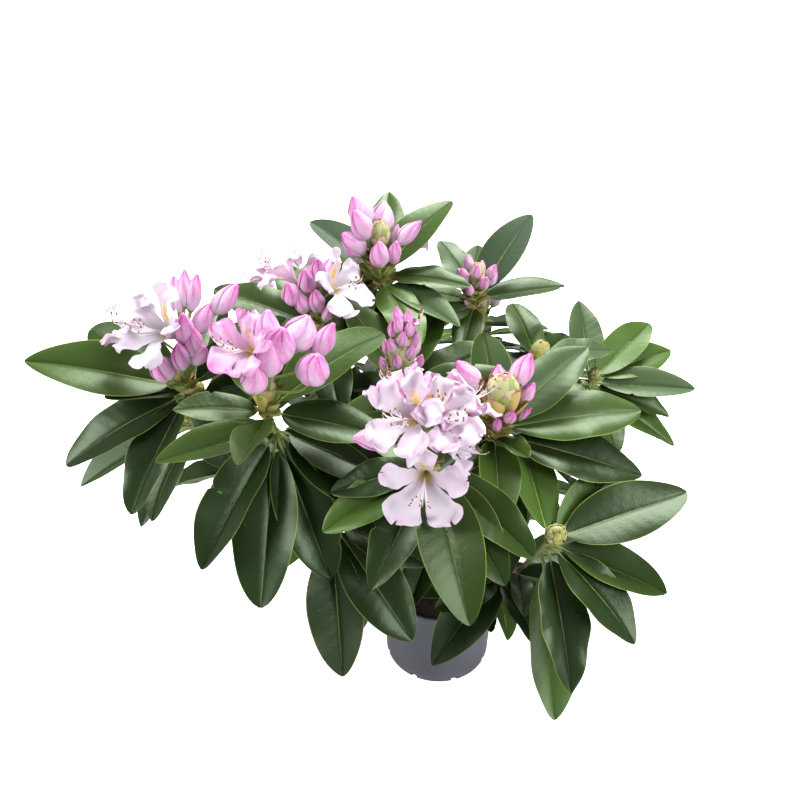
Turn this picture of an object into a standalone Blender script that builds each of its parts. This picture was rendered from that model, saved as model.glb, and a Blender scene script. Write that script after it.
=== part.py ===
"""Potted rhododendron in flower: pot, compost, trunk, boughs and leafy sprays.

Metres, +Z up, the middle of the pot's underside at the origin, the front towards -Y.
A bearing is in degrees from +X round to +Y, so 270 faces the front. A rise is degrees above level.
"""
import random
from math import cos, pi, radians, sin

import bmesh
import bpy
from mathutils import Vector
from mathutils.bvhtree import BVHTree

for old in list(bpy.data.objects):
    bpy.data.objects.remove(old, do_unlink=True)

MM = 0.001
GAP = 0.3 * MM
UP = Vector((0, 0, 1))

# Pot and compost
POT_HEIGHT = 125 * MM
RIM_RADIUS = 75 * MM
LIP_WIDTH = 1.4 * MM
LIP_DEPTH = 10 * MM
FOOT_RADIUS = 70.5 * MM
WALL = 2.2 * MM
FLOOR = 4 * MM
POT_STEPS = 44
DRAIN_NOTCHES = 8
NOTCH_WIDTH = 7 * MM
NOTCH_HEIGHT = 7 * MM
NOTCH_DEPTH = 3 * MM
SOIL_LEVEL = 111 * MM
SOIL_FALL = 3 * MM

# Trunk
TRUNK_BASE_RADIUS = 9 * MM
TRUNK_TOP_RADIUS = 6 * MM
ROOT_FLARE = 6 * MM
ROOT_FLARE_HEIGHT = 12 * MM
BUTTRESSES = 5
TRUNK_TOP = Vector((-24, -6, 215)) * MM
TRUNK_SWAY = Vector((4, -3, 0)) * MM

# Boughs and shoots
BOUGH_RADIUS = 4.6 * MM
SIDE_BOUGH_RADIUS = 3.6 * MM
SHOOT_RADIUS = 2.8 * MM
SHOOT_LENGTH = 75 * MM
BOUGH_STEPS = 6
BOUGH_SIDES = 7
SHOOT_SIDES = 8
BOUGH_RISE = 35
LEADER_RISE = 60
BOUGH_PULL = 0.35

# Leaves, as shares of their length, and the bend of a blade in degrees
PETIOLE = 0.15
WIDTH = 0.40
THICKNESS = 0.012
ARCH = 34
STATIONS = (0.0, PETIOLE, 0.28, 0.52, 0.77, 0.92)
FILL_LENGTH = 120 * MM
FILL_RISE = 10
CLEARANCE = 1.2 * MM

# Blossom
BUD_LENGTH = 38 * MM
BUD_RADIUS = 8.5 * MM
STALK_RADIUS = 1.4 * MM
FLOWER_RADIUS = 37 * MM
FLOWER_NOTCH = 0.72
LOBE_SPREAD = 17
FLOWER_DEPTH = 32 * MM
FLOWER_THROAT = 0.38
SHARP_ANGLE = 35


def toward(bearing, rise):
    b, e = radians(bearing), radians(rise)
    return Vector((cos(b) * cos(e), sin(b) * cos(e), sin(e)))


class Spray:
    """One bough and the leafy shoot that ends it.

    limb: the limb it grows from, how far along it, and the bearing the bough sets off on
    tip and lean: where the shoot ends (mm), and the bearing and degrees it leans
    leaves: level below the tip (mm), bearing, rise and length (mm); count is made up by rule
    cone: radius and height (mm) of the bud or truss core
    flowers and buds: bearing, rise and reach (mm); a flower also how far down the core it starts
    """

    def __init__(self, limb, tip, lean, leaves=(), count=9, cone=(0, 0), flowers=(), buds=()):
        self.limb = limb
        self.tip = Vector(tip) * MM
        self.lean = lean
        self.axis = toward(lean[0], 90 - lean[1])
        self.foot = self.tip - self.axis * SHOOT_LENGTH
        self.leaves = leaves
        self.count = count
        self.cone_radius, self.cone_height = cone[0] * MM, cone[1] * MM
        self.crown = self.tip + self.axis * self.cone_height * 0.4
        self.flowers = flowers
        self.buds = buds


# What stands in front comes first, as it is dealt its space first; a limb comes before its side limbs
SPRAYS = {
    "front": Spray(("trunk", 0.82, 280), (-25, -170, 455), (260, 22),
                   [(20, 286, -36, 150), (25, 318, -20, 132), (25, 236, -38, 125)],
                   cone=(10, 46), flowers=[(215, 55, 60, 0), (315, 50, 60, 0), (263, 0, 58, 22),
                                            (338, -2, 54, 4), (192, 8, 54, 4)],
                   buds=[(150, 60, 62), (90, 50, 60), (40, 35, 54), (265, 88, 66)]),
    "left": Spray(("trunk", 0.78, 190), (-275, -60, 460), (240, 30),
                  [(5, 188, 17, 158), (10, 208, 12, 85), (8, 150, 15, 140), (12, 246, -34, 138),
                   (15, 205, -20, 145)],
                  cone=(10, 60), flowers=[(195, 48, 74, 0), (130, 42, 78, 0)],
                  buds=[(80, 80, 98), (40, 68, 96), (10, 45, 72), (250, -8, 42), (30, 15, 50), (290, 42, 52)]),
    "front_left": Spray(("left", 0.25, 255), (-180, -130, 480), (250, 22),
                        [(8, 200, 15, 88), (15, 262, 8, 95), (8, 350, -10, 120), (8, 35, 18, 142),
                         (42, 335, -25, 152), (42, 302, -46, 152), (44, 266, -42, 168), (44, 240, -38, 148),
                         (38, 345, -18, 132), (40, 205, 0, 118)], count=11,
                        cone=(10, 60), flowers=[(235, 72, 58, 0), (5, 45, 62, 0), (322, 18, 56, 0)],
                        buds=[(260, -22, 42), (182, 42, 66), (150, 60, 66), (70, 60, 56), (205, 12, 50)]),
    "right": Spray(("trunk", 0.68, 335), (50, -70, 415), (290, 20),
                   [(8, 33, 28, 140), (5, 8, 10, 160), (12, 347, -10, 160), (20, 291, 20, 80), (15, 268, -40, 98),
                    (10, 92, 26, 130), (30, 290, -50, 165)],
                   cone=(16, 50), buds=[(185, 45, 58), (0, 55, 64), (230, 25, 34), (345, 28, 44), (60, 50, 44),
                                        (120, 45, 44), (270, -10, 32)]),
    "low_right": Spray(("trunk", 0.40, 305), (100, -165, 345), (300, 28),
                       [(5, 44, 15, 115), (5, 20, 12, 153), (12, 315, -27, 126), (12, 343, -15, 128),
                        (15, 281, -44, 145), (28, 281, -60, 182), (5, 95, 0, 105)],
                       count=8, cone=(11, 30)),
    "low_left": Spray(("trunk", 0.55, 235), (-125, -140, 355), (260, 22),
                      [(15, 278, -55, 160), (12, 318, -40, 148), (16, 300, -50, 145), (10, 345, -20, 112)], count=7,
                      cone=(8, 24)),
    "top": Spray(("trunk", 1.0, 120), (-75, 100, 515), (270, 10),
                 [(5, 140, 20, 120), (5, 85, 30, 130), (5, 40, 25, 130), (8, 350, 0, 106), (10, 285, -8, 125),
                  (15, 240, -20, 110)],
                 cone=(10, 52), buds=[(215, 55, 56), (145, 62, 74), (87, 72, 74), (281, 50, 44), (354, 48, 54),
                                      (40, 45, 50), (185, 15, 52)]),
    "upper_right": Spray(("trunk", 0.90, 45), (40, 120, 475), (270, 10),
                         [(5, 45, 40, 130), (5, 18, 2, 120), (10, 255, -15, 92), (8, 85, 22, 100),
                          (8, 115, 20, 105), (12, 320, -15, 110)],
                         cone=(9, 38), buds=[(270, 65, 36), (330, 55, 40), (60, 60, 38), (200, 55, 34)]),
    "middle_left": Spray(("top", 0.30, 190), (-145, 50, 475), (240, 20),
                         [(5, 163, 13, 134), (5, 122, 22, 110)],
                         cone=(10, 50), flowers=[(330, 42, 62, 0), (140, 52, 70, 0)],
                         buds=[(215, 40, 54), (172, 12, 54), (250, 20, 46), (60, 55, 52), (225, 75, 58)]),
    "centre": Spray(("front", 0.20, 60), (-50, -20, 445), (270, 10),
                    [(10, 66, 26, 120), (10, 131, 28, 120), (15, 150, -20, 110)],
                    cone=(14, 54), buds=[(250, 45, 40), (310, 50, 42), (20, 45, 40), (175, 45, 40), (95, 75, 54),
                                         (345, 10, 38), (215, 10, 38)]),
    "far_right": Spray(("trunk", 0.52, 10), (190, 100, 370), (300, 20),
                       [(5, 43, 18, 130), (5, 30, 9, 140), (8, 355, 0, 132), (12, 350, -18, 112),
                        (14, 340, -28, 134), (5, 92, 33, 120)], cone=(8, 26)),
    "right_back": Spray(("upper_right", 0.35, 350), (115, 80, 410), (300, 15),
                        [(5, 101, 16, 110), (8, 56, -4, 110), (8, 20, 0, 110)], count=7, cone=(12, 38)),
    "lower_left": Spray(("left", 0.45, 150), (-300, 20, 360), (220, 25),
                        [(10, 200, -20, 150), (12, 240, -40, 120), (14, 224, -40, 135)],
                        count=7, cone=(9, 28)),
    "low_middle": Spray(("low_right", 0.30, 290), (75, -90, 255), (300, 20),
                        [(8, 225, -32, 150), (12, 300, -10, 100)], count=6, cone=(7, 20)),
    "back": Spray(("trunk", 0.76, 80), (-70, 270, 430), (90, 20), cone=(10, 46),
                  flowers=[(60, 35, 60, 0), (130, 40, 60, 0)],
                  buds=[(0, 55, 52), (95, 80, 62), (185, 45, 52), (90, 0, 48), (250, 50, 50)]),
    "back_left": Spray(("trunk", 0.60, 150), (-190, 200, 400), (130, 20), cone=(10, 46),
                       flowers=[(95, 40, 60, 0), (165, 35, 60, 0)],
                       buds=[(20, 55, 52), (50, 20, 50), (225, 50, 52), (125, 80, 62)]),
    "back_right": Spray(("back", 0.35, 30), (60, 245, 380), (75, 22), count=8,
                        cone=(12, 48), buds=[(90, 60, 42), (20, 50, 40), (150, 55, 40), (270, 55, 40), (70, 10, 38)]),
    "outer_left": Spray(("back_left", 0.45, 175), (-315, 130, 330), (160, 25), count=8, cone=(9, 28)),
    "low_back": Spray(("trunk", 0.40, 55), (165, 205, 325), (50, 22), count=8, cone=(8, 26)),
    "low_back_left": Spray(("trunk", 0.36, 120), (-100, 185, 265), (115, 26), count=7, cone=(8, 24)),
}

COLOURS = {
    "pot": (0.085, 0.090, 0.115), "compost": (0.020, 0.014, 0.010), "bark": (0.16, 0.12, 0.075),
    "leaf": (0.055, 0.115, 0.040), "blossom": (0.80, 0.50, 0.68),
}

PLANT = bpy.data.collections.new("potted_rhododendron")
CUTTERS = bpy.data.collections.new("cutters")
for holder in (PLANT, CUTTERS):
    bpy.context.scene.collection.children.link(holder)


def material(name):
    if name in bpy.data.materials:
        return bpy.data.materials[name]
    made = bpy.data.materials.new(name)
    made.use_nodes = True
    shader = made.node_tree.nodes["Principled BSDF"]
    shader.inputs["Base Color"].default_value = (*COLOURS[name], 1)
    shader.inputs["Roughness"].default_value = 0.45
    made.diffuse_color = (*COLOURS[name], 1)
    return made


def solid(name, shape, kind, holder=PLANT):
    """An object from (points, faces), its faces turned outward."""
    points, faces = shape
    mesh = bpy.data.meshes.new(name)
    mesh.from_pydata([tuple(p) for p in points], [], faces)
    work = bmesh.new()
    work.from_mesh(mesh)
    bmesh.ops.recalc_face_normals(work, faces=work.faces)
    work.to_mesh(mesh)
    work.free()
    mesh.materials.append(material(kind))
    made = bpy.data.objects.new(name, mesh)
    holder.objects.link(made)
    return made


def loft(rings):
    """Skin over rings of points: equal rings, a ring three times as fine as the last, or one point as a tip."""
    points, faces, starts = [], [], []
    for ring in rings:
        starts.append(len(points))
        points.extend(ring)
    for a, b, ring, after in zip(starts, starts[1:], rings, rings[1:]):
        n, m = len(ring), len(after)
        if m == 1:
            faces += [(a + i, a + (i + 1) % n, b) for i in range(n)]
        elif m == n:
            faces += [(a + i, a + (i + 1) % n, b + (i + 1) % n, b + i) for i in range(n)]
        else:
            wide, fine = (a, b) if m > n else (b, a)
            for i in range(min(m, n)):
                f = [fine + (3 * i + k) % (3 * min(m, n)) for k in range(4)]
                here, there = wide + i, wide + (i + 1) % min(m, n)
                faces += [(here, f[1], f[0]), (here, f[2], f[1]), (here, there, f[2]), (there, f[3], f[2])]
    faces.append(tuple(reversed(range(len(rings[0])))))
    if len(rings[-1]) > 1:
        faces.append(tuple(starts[-1] + i for i in range(len(rings[-1]))))
    return points, faces


def across(direction):
    side = direction.cross(UP)
    if side.length < 0.05:
        side = direction.cross(Vector((0, 1, 0)))
    side.normalize()
    return side, direction.cross(side).normalized()


def ring_about(centre, direction, radii, turn=0.0, angles=None):
    u, v = across(direction)
    angles = angles or [2 * pi * i / len(radii) for i in range(len(radii))]
    return [centre + (u * cos(turn + a) + v * sin(turn + a)) * r for a, r in zip(angles, radii)]


def rod(path, radii, sides, last=None):
    """A round rod along a path, its rings carried from one to the next without twist."""
    rings, u = [], None
    for i, centre in enumerate(path):
        along = (path[min(i + 1, len(path) - 1)] - path[max(i - 1, 0)]).normalized()
        if last and i == len(path) - 1:
            along = last
        u = across(along)[0] if u is None else (u - along * u.dot(along)).normalized()
        v = along.cross(u)
        rings.append([centre + (u * cos(2 * pi * k / sides) + v * sin(2 * pi * k / sides)) * radii[i]
                      for k in range(sides)])
    return loft(rings)


def curve(start, start_pull, end_pull, end, steps):
    return [start * (1 - t) ** 3 + start_pull * 3 * t * (1 - t) ** 2 + end_pull * 3 * t * t * (1 - t) + end * t ** 3
            for t in [i / steps for i in range(steps + 1)]]


# Pieces of a spray
def half_width(t, length):
    """Half the width of a leaf at a share of its length: a thin stalk, then a long ellipse."""
    if t <= PETIOLE:
        return length * 0.014
    u = (t - PETIOLE) / (1 - PETIOLE)
    return length * WIDTH / 2 * sin(pi * u ** 0.92) ** 0.62 * (1 - 0.1 * u)


def leaf(root, bearing, rise, length, axis, extra=0.0):
    """An arching blade with a keel below; extra fattens it all round."""
    along = toward(bearing, rise)
    up = axis - along * axis.dot(along)
    if up.length < 0.25:
        level = toward(bearing, 0)
        up += 0.5 * (level - along * level.dot(along)) + 0.2 * (UP - along * UP.dot(along))
    up.normalize()
    side = along.cross(up)
    bend = radians(ARCH)
    rings = []
    for t in STATIONS + (1.0,):
        a = bend / 2 - bend * t
        centre = root + length * (along * (sin(bend / 2) - sin(a)) + up * (cos(a) - cos(bend / 2))) / (2 * sin(bend / 2))
        look = up * cos(a) - along * sin(a)
        if t == 1.0:
            rings.append([centre + along * extra])
            break
        wide = side * (half_width(t, length) + extra)
        keel = look * (max(length * THICKNESS, 1.6 * MM) + extra)
        rings.append([centre + wide + look * extra, centre - keel, centre - wide + look * extra])
    return loft(rings)


def bud(root, direction, reach):
    """A pointed flower bud on its stalk, its point at the reach."""
    length = min(BUD_LENGTH, reach * 0.85)
    radius = BUD_RADIUS * (0.5 + 0.5 * length / BUD_LENGTH)
    rings = [ring_about(root + direction * d, direction, [r] * 5)
             for d, r in ((3 * MM, STALK_RADIUS), (reach - length, STALK_RADIUS * 1.3),
                          (reach - length * 0.45, radius))]
    return loft(rings + [[root + direction * reach]])


def flower(root, direction, reach, size, turn):
    """An open flower: a funnel on its stalk with five round lobes, hollow at its mouth."""
    radius, depth = FLOWER_RADIUS * size, FLOWER_DEPTH * size
    mouth = root + direction * reach
    lobes = [radius * r for r in (FLOWER_NOTCH, 1, 1)] * 5
    angles = [radians(72 * k + a) for k in range(5) for a in (0, 36 - LOBE_SPREAD, 36 + LOBE_SPREAD)]
    rings = [ring_about(root + direction * 3 * MM, direction, [STALK_RADIUS] * 5, turn),
             ring_about(mouth - direction * depth, direction, [STALK_RADIUS * 2] * 5, turn),
             ring_about(mouth - direction * depth * 0.36, direction, [radius * FLOWER_THROAT] * 5, turn),
             ring_about(mouth, direction, lobes, turn, angles),
             ring_about(mouth - direction * depth * 0.26, direction, [radius * FLOWER_THROAT * 0.9] * 5, turn),
             [mouth - direction * depth * 0.75]]
    return loft(rings)


def spindle(root, direction, height, radius):
    rings = [ring_about(root + direction * height * d, direction, [radius * r] * 7)
             for d, r in ((0, 0.42), (0.32, 1), (0.70, 0.80))]
    return loft(rings + [[root + direction * height]])


# Space keeping: who holds each piece of space, its tree, and whether it holds against other sprays only
taken = []


def tree_of(shape):
    return BVHTree.FromPolygons([tuple(p) for p in shape[0]], shape[1])


def beyond(shape, first):
    """The part of a loft past its first points, so that roots sunk in one stem don't count as touching."""
    return shape[0][first:], [tuple(i - first for i in f) for f in shape[1] if min(f) >= first]


def is_free(shape, owner, own_too=False):
    tree = tree_of(shape)
    return not any((whose != owner or (own_too and not core)) and tree.overlap(other)
                   for whose, other, core in taken)


def keep(shape, owner, sunk=0):
    """Hold a piece's whole shape against the others, and what is past its sunk points against its own."""
    taken.append((owner, tree_of(shape), True))
    if sunk:
        taken.append((owner, tree_of(beyond(shape, sunk)), False))


# Pot and compost
def screw_solid(name, profile, kind):
    mesh = bpy.data.meshes.new(name)
    mesh.from_pydata([(x, 0, z) for x, z in profile], [(i, i + 1) for i in range(len(profile) - 1)], [])
    mesh.materials.append(material(kind))
    made = bpy.data.objects.new(name, mesh)
    PLANT.objects.link(made)
    turn = made.modifiers.new("turn", "SCREW")
    turn.axis = "Z"
    turn.steps = turn.render_steps = POT_STEPS
    turn.use_merge_vertices = True
    turn.merge_threshold = 0.00001
    turn.use_smooth_shade = False
    return made


lip_foot = POT_HEIGHT - LIP_DEPTH
inner_rim = RIM_RADIUS - LIP_WIDTH - WALL
inner_foot = FOOT_RADIUS - WALL
corner = 7 * MM
pot = screw_solid("pot", [
    (0, FLOOR), (inner_foot - corner * 0.7, FLOOR), (inner_foot, FLOOR + corner), (inner_rim, lip_foot),
    (inner_rim + 1 * MM, POT_HEIGHT), (RIM_RADIUS, POT_HEIGHT), (RIM_RADIUS, lip_foot + 1 * MM),
    (RIM_RADIUS - LIP_WIDTH, lip_foot), (FOOT_RADIUS, 1.5 * MM), (FOOT_RADIUS - 1 * MM, 0), (0, 0)], "pot")
for i in range(DRAIN_NOTCHES):
    bearing = 2 * pi * (i + 0.37) / DRAIN_NOTCHES
    bpy.ops.mesh.primitive_cube_add(
        size=1, location=(cos(bearing) * FOOT_RADIUS, sin(bearing) * FOOT_RADIUS, NOTCH_HEIGHT / 2 - 1 * MM),
        rotation=(0, 0, bearing), scale=(NOTCH_DEPTH * 2, NOTCH_WIDTH, NOTCH_HEIGHT))
    notch = bpy.context.object
    notch.name = f"notch_{i + 1}"
    notch.hide_render = True
    notch.display_type = "WIRE"
    for held in list(notch.users_collection):
        held.objects.unlink(notch)
    CUTTERS.objects.link(notch)
drains = pot.modifiers.new("drain_notches", "BOOLEAN")
drains.operation = "DIFFERENCE"
drains.operand_type = "COLLECTION"
drains.collection = CUTTERS
drains.solver = "EXACT"


def plug_radius(z):
    share = (z - FLOOR - corner) / (lip_foot - FLOOR - corner)
    return inner_foot + (inner_rim - inner_foot) * share - GAP * 1.3


screw_solid("compost", [
    (0, SOIL_LEVEL), (24 * MM, SOIL_LEVEL), (plug_radius(SOIL_LEVEL), SOIL_LEVEL - SOIL_FALL),
    (plug_radius(FLOOR + corner), FLOOR + corner + GAP), (inner_foot - corner * 0.75, FLOOR + GAP), (0, FLOOR + GAP)],
    "compost")
keep(loft([ring_about(UP * z, UP, [RIM_RADIUS + 1 * MM] * 24) for z in (0, POT_HEIGHT + 1 * MM)]), "pot")

# Trunk
trunk_foot = Vector((0, 0, SOIL_LEVEL + GAP))


def trunk_at(share):
    return trunk_foot.lerp(TRUNK_TOP, share) + TRUNK_SWAY * sin(pi * share)


def trunk_shape(extra=0.0):
    sides = BUTTRESSES * 3
    rings = []
    for share in (0, 0.05, 0.12, 0.35, 0.6, 0.85, 1.0):
        height = (TRUNK_TOP - trunk_foot).length * share
        radius = TRUNK_BASE_RADIUS + (TRUNK_TOP_RADIUS - TRUNK_BASE_RADIUS) * share + extra
        radius += ROOT_FLARE * max(0.0, 1 - height / ROOT_FLARE_HEIGHT) ** 2
        ripple = ROOT_FLARE * 0.3 * max(0.0, 1 - share / 0.12)
        centre = trunk_at(share) + UP * (extra if share == 1.0 else -extra if share == 0 else 0)
        rings.append([centre + toward(360 * k / sides, 0) * (radius + ripple * (1 if k % 3 == 0 else -0.5))
                      for k in range(sides)])
    return loft(rings)


solid("trunk", trunk_shape(), "bark")
keep(trunk_shape(), "trunk")

# Boughs start inside the limb they grow from and are trimmed just clear of it
paths = {"trunk": trunk_at}
shapes_of = {"trunk": trunk_shape}


def trimmed(body, trimmer, end):
    """Cut the trimmer away from the body and keep the piece that holds the end."""
    tool = solid("trim", trimmer, "bark", CUTTERS)
    cut = body.modifiers.new("trim", "BOOLEAN")
    cut.operation = "DIFFERENCE"
    cut.object = tool
    cut.solver = "EXACT"
    shaped = bpy.data.meshes.new_from_object(body.evaluated_get(bpy.context.evaluated_depsgraph_get()))
    body.modifiers.remove(cut)
    body.data = shaped
    bpy.data.objects.remove(tool, do_unlink=True)
    work = bmesh.new()
    work.from_mesh(shaped)
    far = min(work.verts, key=lambda vert: (vert.co - end).length)
    joined, front = {far}, [far]
    while front:
        for edge in front.pop().link_edges:
            for vert in edge.verts:
                if vert not in joined:
                    joined.add(vert)
                    front.append(vert)
    bmesh.ops.delete(work, geom=[v for v in work.verts if v not in joined], context="VERTS")
    work.verts.index_update()
    shape = [v.co.copy() for v in work.verts], [tuple(v.index for v in f.verts) for f in work.faces]
    work.to_mesh(shaped)
    work.free()
    return shape


for name, spray in SPRAYS.items():
    limb, share, bearing = spray.limb
    start = paths[limb](share * 0.95)
    reach = (spray.foot - start).length
    first = toward(bearing, LEADER_RISE if share == 1.0 else BOUGH_RISE)
    thick = BOUGH_RADIUS if limb == "trunk" else SIDE_BOUGH_RADIUS
    pull = reach * BOUGH_PULL
    path = curve(start, start + first * pull, spray.foot - spray.axis * pull, spray.foot, BOUGH_STEPS)
    radii = [thick + (SHOOT_RADIUS * 1.08 - thick) * i / BOUGH_STEPS for i in range(BOUGH_STEPS + 1)]

    def along_path(t, path=path):
        i = min(int(t * (len(path) - 1)), len(path) - 2)
        return path[i].lerp(path[i + 1], t * (len(path) - 1) - i)

    def fattened(extra=0.0, path=path, radii=radii, last=spray.axis):
        return rod(path, [r + extra for r in radii], BOUGH_SIDES, last)
    paths[name], shapes_of[name] = along_path, fattened
    bough = solid(f"bough_{name}", shapes_of[name](), "bark")
    shape = trimmed(bough, shapes_of[limb](GAP), spray.foot)
    for other, tree, _ in taken:
        if other.startswith("bough") and other != f"bough_{limb}" and tree_of(shape).overlap(tree):
            raise RuntimeError(f"the boughs {name} and {other} touch")
    keep(shape, f"bough_{name}")

# Stems and blossom of every spray are given their space first, then the leaves
FLOWER_NUDGES = [(0, 0, 1), (8, 0, 1), (-8, 0, 1), (0, 10, 1), (0, -10, 1), (0, 0, 0.88), (12, 8, 0.88),
                 (-12, 8, 0.88), (12, -8, 0.88), (-12, -8, 0.88), (0, 0, 0.76), (18, 0, 0.76), (-18, 0, 0.76)]
LEAF_NUDGES = [(0, 0, 1), (5, 0, 1), (-5, 0, 1), (0, 6, 1), (0, -6, 1), (8, -5, 0.95), (-8, -5, 0.95),
               (8, 6, 0.95), (-8, 6, 0.95), (14, 0, 0.9), (-14, 0, 0.9), (0, 12, 0.85), (0, -12, 0.85),
               (18, -8, 0.85), (-18, -8, 0.85), (0, 0, 0.75)]
pieces = {}
for name, spray in SPRAYS.items():
    foot = spray.foot + spray.axis * GAP
    head = spray.tip + spray.axis * spray.cone_height * 0.3
    stem = rod([foot, foot.lerp(head, 0.5), head], [SHOOT_RADIUS, SHOOT_RADIUS, SHOOT_RADIUS * 0.8],
               SHOOT_SIDES)
    cone = spindle(spray.tip - spray.axis * 2 * MM, spray.axis, spray.cone_height, spray.cone_radius)
    pieces[name] = [(stem, "leaf"), (cone, "leaf")]
    if not (is_free(stem, name) and is_free(cone, name)):
        raise RuntimeError(f"the shoot {name} touches another")
    keep(stem, name)
    keep(cone, name)
for name, spray in SPRAYS.items():
    for k, (bearing, rise, reach, drop) in enumerate(spray.flowers):
        root = spray.crown - spray.axis * drop * MM
        for turn, lift, size in FLOWER_NUDGES:
            shape = flower(root, toward(bearing + turn, rise + lift), reach * MM, size, k * 0.7)
            if is_free(shape, name) and is_free(beyond(shape, 5), name, own_too=True):
                pieces[name].append((shape, "blossom"))
                keep(shape, name, sunk=5)
                break
    for bearing, rise, reach in spray.buds:
        for turn, lift, size in FLOWER_NUDGES[:5]:
            shape = bud(spray.crown, toward(bearing + turn, rise + lift), reach * MM)
            if is_free(shape, name) and is_free(beyond(shape, 5), name, own_too=True):
                pieces[name].append((shape, "blossom"))
                keep(shape, name, sunk=5)
                break

bearings = {name: [] for name in SPRAYS}


def place(name, drop, bearing, rise, length):
    """Put a leaf where it clears all else, nudged a little where need be."""
    spray = SPRAYS[name]
    root = spray.tip - spray.axis * drop
    for turn, lift, share in LEAF_NUDGES:
        fat = leaf(root, bearing + turn, rise + lift, length * share, spray.axis, CLEARANCE)
        made = leaf(root, bearing + turn, rise + lift, length * share, spray.axis)
        if is_free(made, name) and is_free(fat, name) and is_free(beyond(fat, 3), name, own_too=True):
            pieces[name].append((made, "leaf"))
            keep(made, name, sunk=3)
            bearings[name].append((bearing + turn) % 360)
            return


for name, spray in SPRAYS.items():
    for drop, bearing, rise, length in spray.leaves:
        place(name, drop * MM, bearing, rise, length * MM)
random.seed(7)
for name, spray in SPRAYS.items():
    used = bearings[name] or [random.uniform(0, 360)]
    dealt = list(used)
    for k in range(spray.count - len(spray.leaves)):
        dealt.sort()
        wide, start = max(((dealt[(i + 1) % len(dealt)] - b) % 360 or 360, b) for i, b in enumerate(dealt))
        bearing = (start + wide / 2) % 360
        dealt.append(bearing)
        sink = spray.lean[1] * cos(radians(bearing - spray.lean[0]))
        rise = FILL_RISE - sink - 9 * (k % 3) + random.uniform(-4, 4)
        place(name, (8 + 5 * k) * MM, bearing, rise, FILL_LENGTH * random.uniform(0.88, 1.1))


def outer_shell(body):
    """Merge doubles and keep the largest shell, so no scrap or sealed hollow stays."""
    for merge in (0.002 * MM, 0.01 * MM, 0.03 * MM, 0.06 * MM):
        work = bmesh.new()
        work.from_mesh(body.data)
        bmesh.ops.remove_doubles(work, verts=work.verts, dist=merge)
        left, shells = set(work.faces), []
        while left:
            seed = left.pop()
            shell, front = {seed}, [seed]
            while front:
                for edge in front.pop().edges:
                    for face in edge.link_faces:
                        if face not in shell:
                            shell.add(face)
                            front.append(face)
            shells.append(shell)
            left -= shell
        shells.sort(key=len)
        bmesh.ops.delete(work, geom=[face for shell in shells[:-1] for face in shell], context="FACES")
        bmesh.ops.delete(work, geom=[v for v in work.verts if not v.link_faces], context="VERTS")
        bmesh.ops.triangulate(work, faces=work.faces)
        faults = sum(len(edge.link_faces) != 2 for edge in work.edges)
        if not faults:
            break
        work.free()
    else:
        raise RuntimeError(f"{body.name} isn't closed")
    work.to_mesh(body.data)
    work.free()


for name in SPRAYS:
    body = solid(f"spray_{name}", *pieces[name][0])
    body.data.materials.append(material("blossom"))
    joining = bpy.data.collections.new("joining")
    bpy.context.scene.collection.children.link(joining)
    for shape, kind in pieces[name][1:]:
        solid("piece", shape, kind, joining)
    join = body.modifiers.new("join", "BOOLEAN")
    join.operation = "UNION"
    join.operand_type = "COLLECTION"
    join.collection = joining
    join.solver = "EXACT"
    join.material_mode = "TRANSFER"
    joined = bpy.data.meshes.new_from_object(body.evaluated_get(bpy.context.evaluated_depsgraph_get()))
    body.modifiers.remove(join)
    body.data = joined
    for piece in list(joining.objects):
        bpy.data.objects.remove(piece, do_unlink=True)
    bpy.data.collections.remove(joining)
    outer_shell(body)

# The pot keeps its cut shape, and every round piece is shaded smooth
for body in PLANT.objects:
    if body.modifiers:
        shaped = bpy.data.meshes.new_from_object(body.evaluated_get(bpy.context.evaluated_depsgraph_get()))
        body.modifiers.clear()
        body.data = shaped
    body.data.shade_smooth()
    body.data.set_sharp_from_angle(angle=radians(SHARP_ANGLE))
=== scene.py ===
"""Looks of the potted rhododendron: fine leaves, blossom, bark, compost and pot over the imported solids.

Metres, +Z up, the front towards -Y. A bearing is in degrees from +X round to +Y, so 270 faces the front.
A rise is in degrees above level. The leaves are dealt out by the same rule as in the part's source.
"""
import random
from math import ceil, cos, exp, pi, radians, sin, sqrt

import bmesh
import bpy
import numpy as np
from bpy.props import FloatProperty, FloatVectorProperty, IntProperty, PointerProperty
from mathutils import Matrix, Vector
from mathutils.bvhtree import BVHTree


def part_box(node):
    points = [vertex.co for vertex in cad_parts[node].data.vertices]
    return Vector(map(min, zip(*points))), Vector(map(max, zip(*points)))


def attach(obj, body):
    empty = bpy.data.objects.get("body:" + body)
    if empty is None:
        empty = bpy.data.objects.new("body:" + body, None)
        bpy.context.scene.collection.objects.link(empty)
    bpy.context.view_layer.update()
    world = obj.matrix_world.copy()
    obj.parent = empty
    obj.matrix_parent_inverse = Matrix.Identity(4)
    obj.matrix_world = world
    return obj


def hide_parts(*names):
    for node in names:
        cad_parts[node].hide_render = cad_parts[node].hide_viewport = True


bl_info = {
    "name": "Potted rhododendron",
    "version": (1, 0, 0),
    "blender": (4, 5, 0),
    "location": "View3D > Sidebar > Rhododendron",
    "description": "Dresses the packed rhododendron with leaves, blossom, bark and its pot",
    "category": "Object",
}

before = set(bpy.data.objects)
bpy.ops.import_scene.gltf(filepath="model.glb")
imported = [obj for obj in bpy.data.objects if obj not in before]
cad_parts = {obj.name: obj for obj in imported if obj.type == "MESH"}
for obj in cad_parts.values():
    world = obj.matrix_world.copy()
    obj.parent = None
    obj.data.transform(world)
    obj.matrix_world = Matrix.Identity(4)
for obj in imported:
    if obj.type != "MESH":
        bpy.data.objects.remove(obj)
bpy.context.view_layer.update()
POT_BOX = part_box("pot")
SOIL_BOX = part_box("compost")

MM = 0.001
GAP = 0.3 * MM
UP = Vector((0, 0, 1))
BODY = "root"

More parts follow.
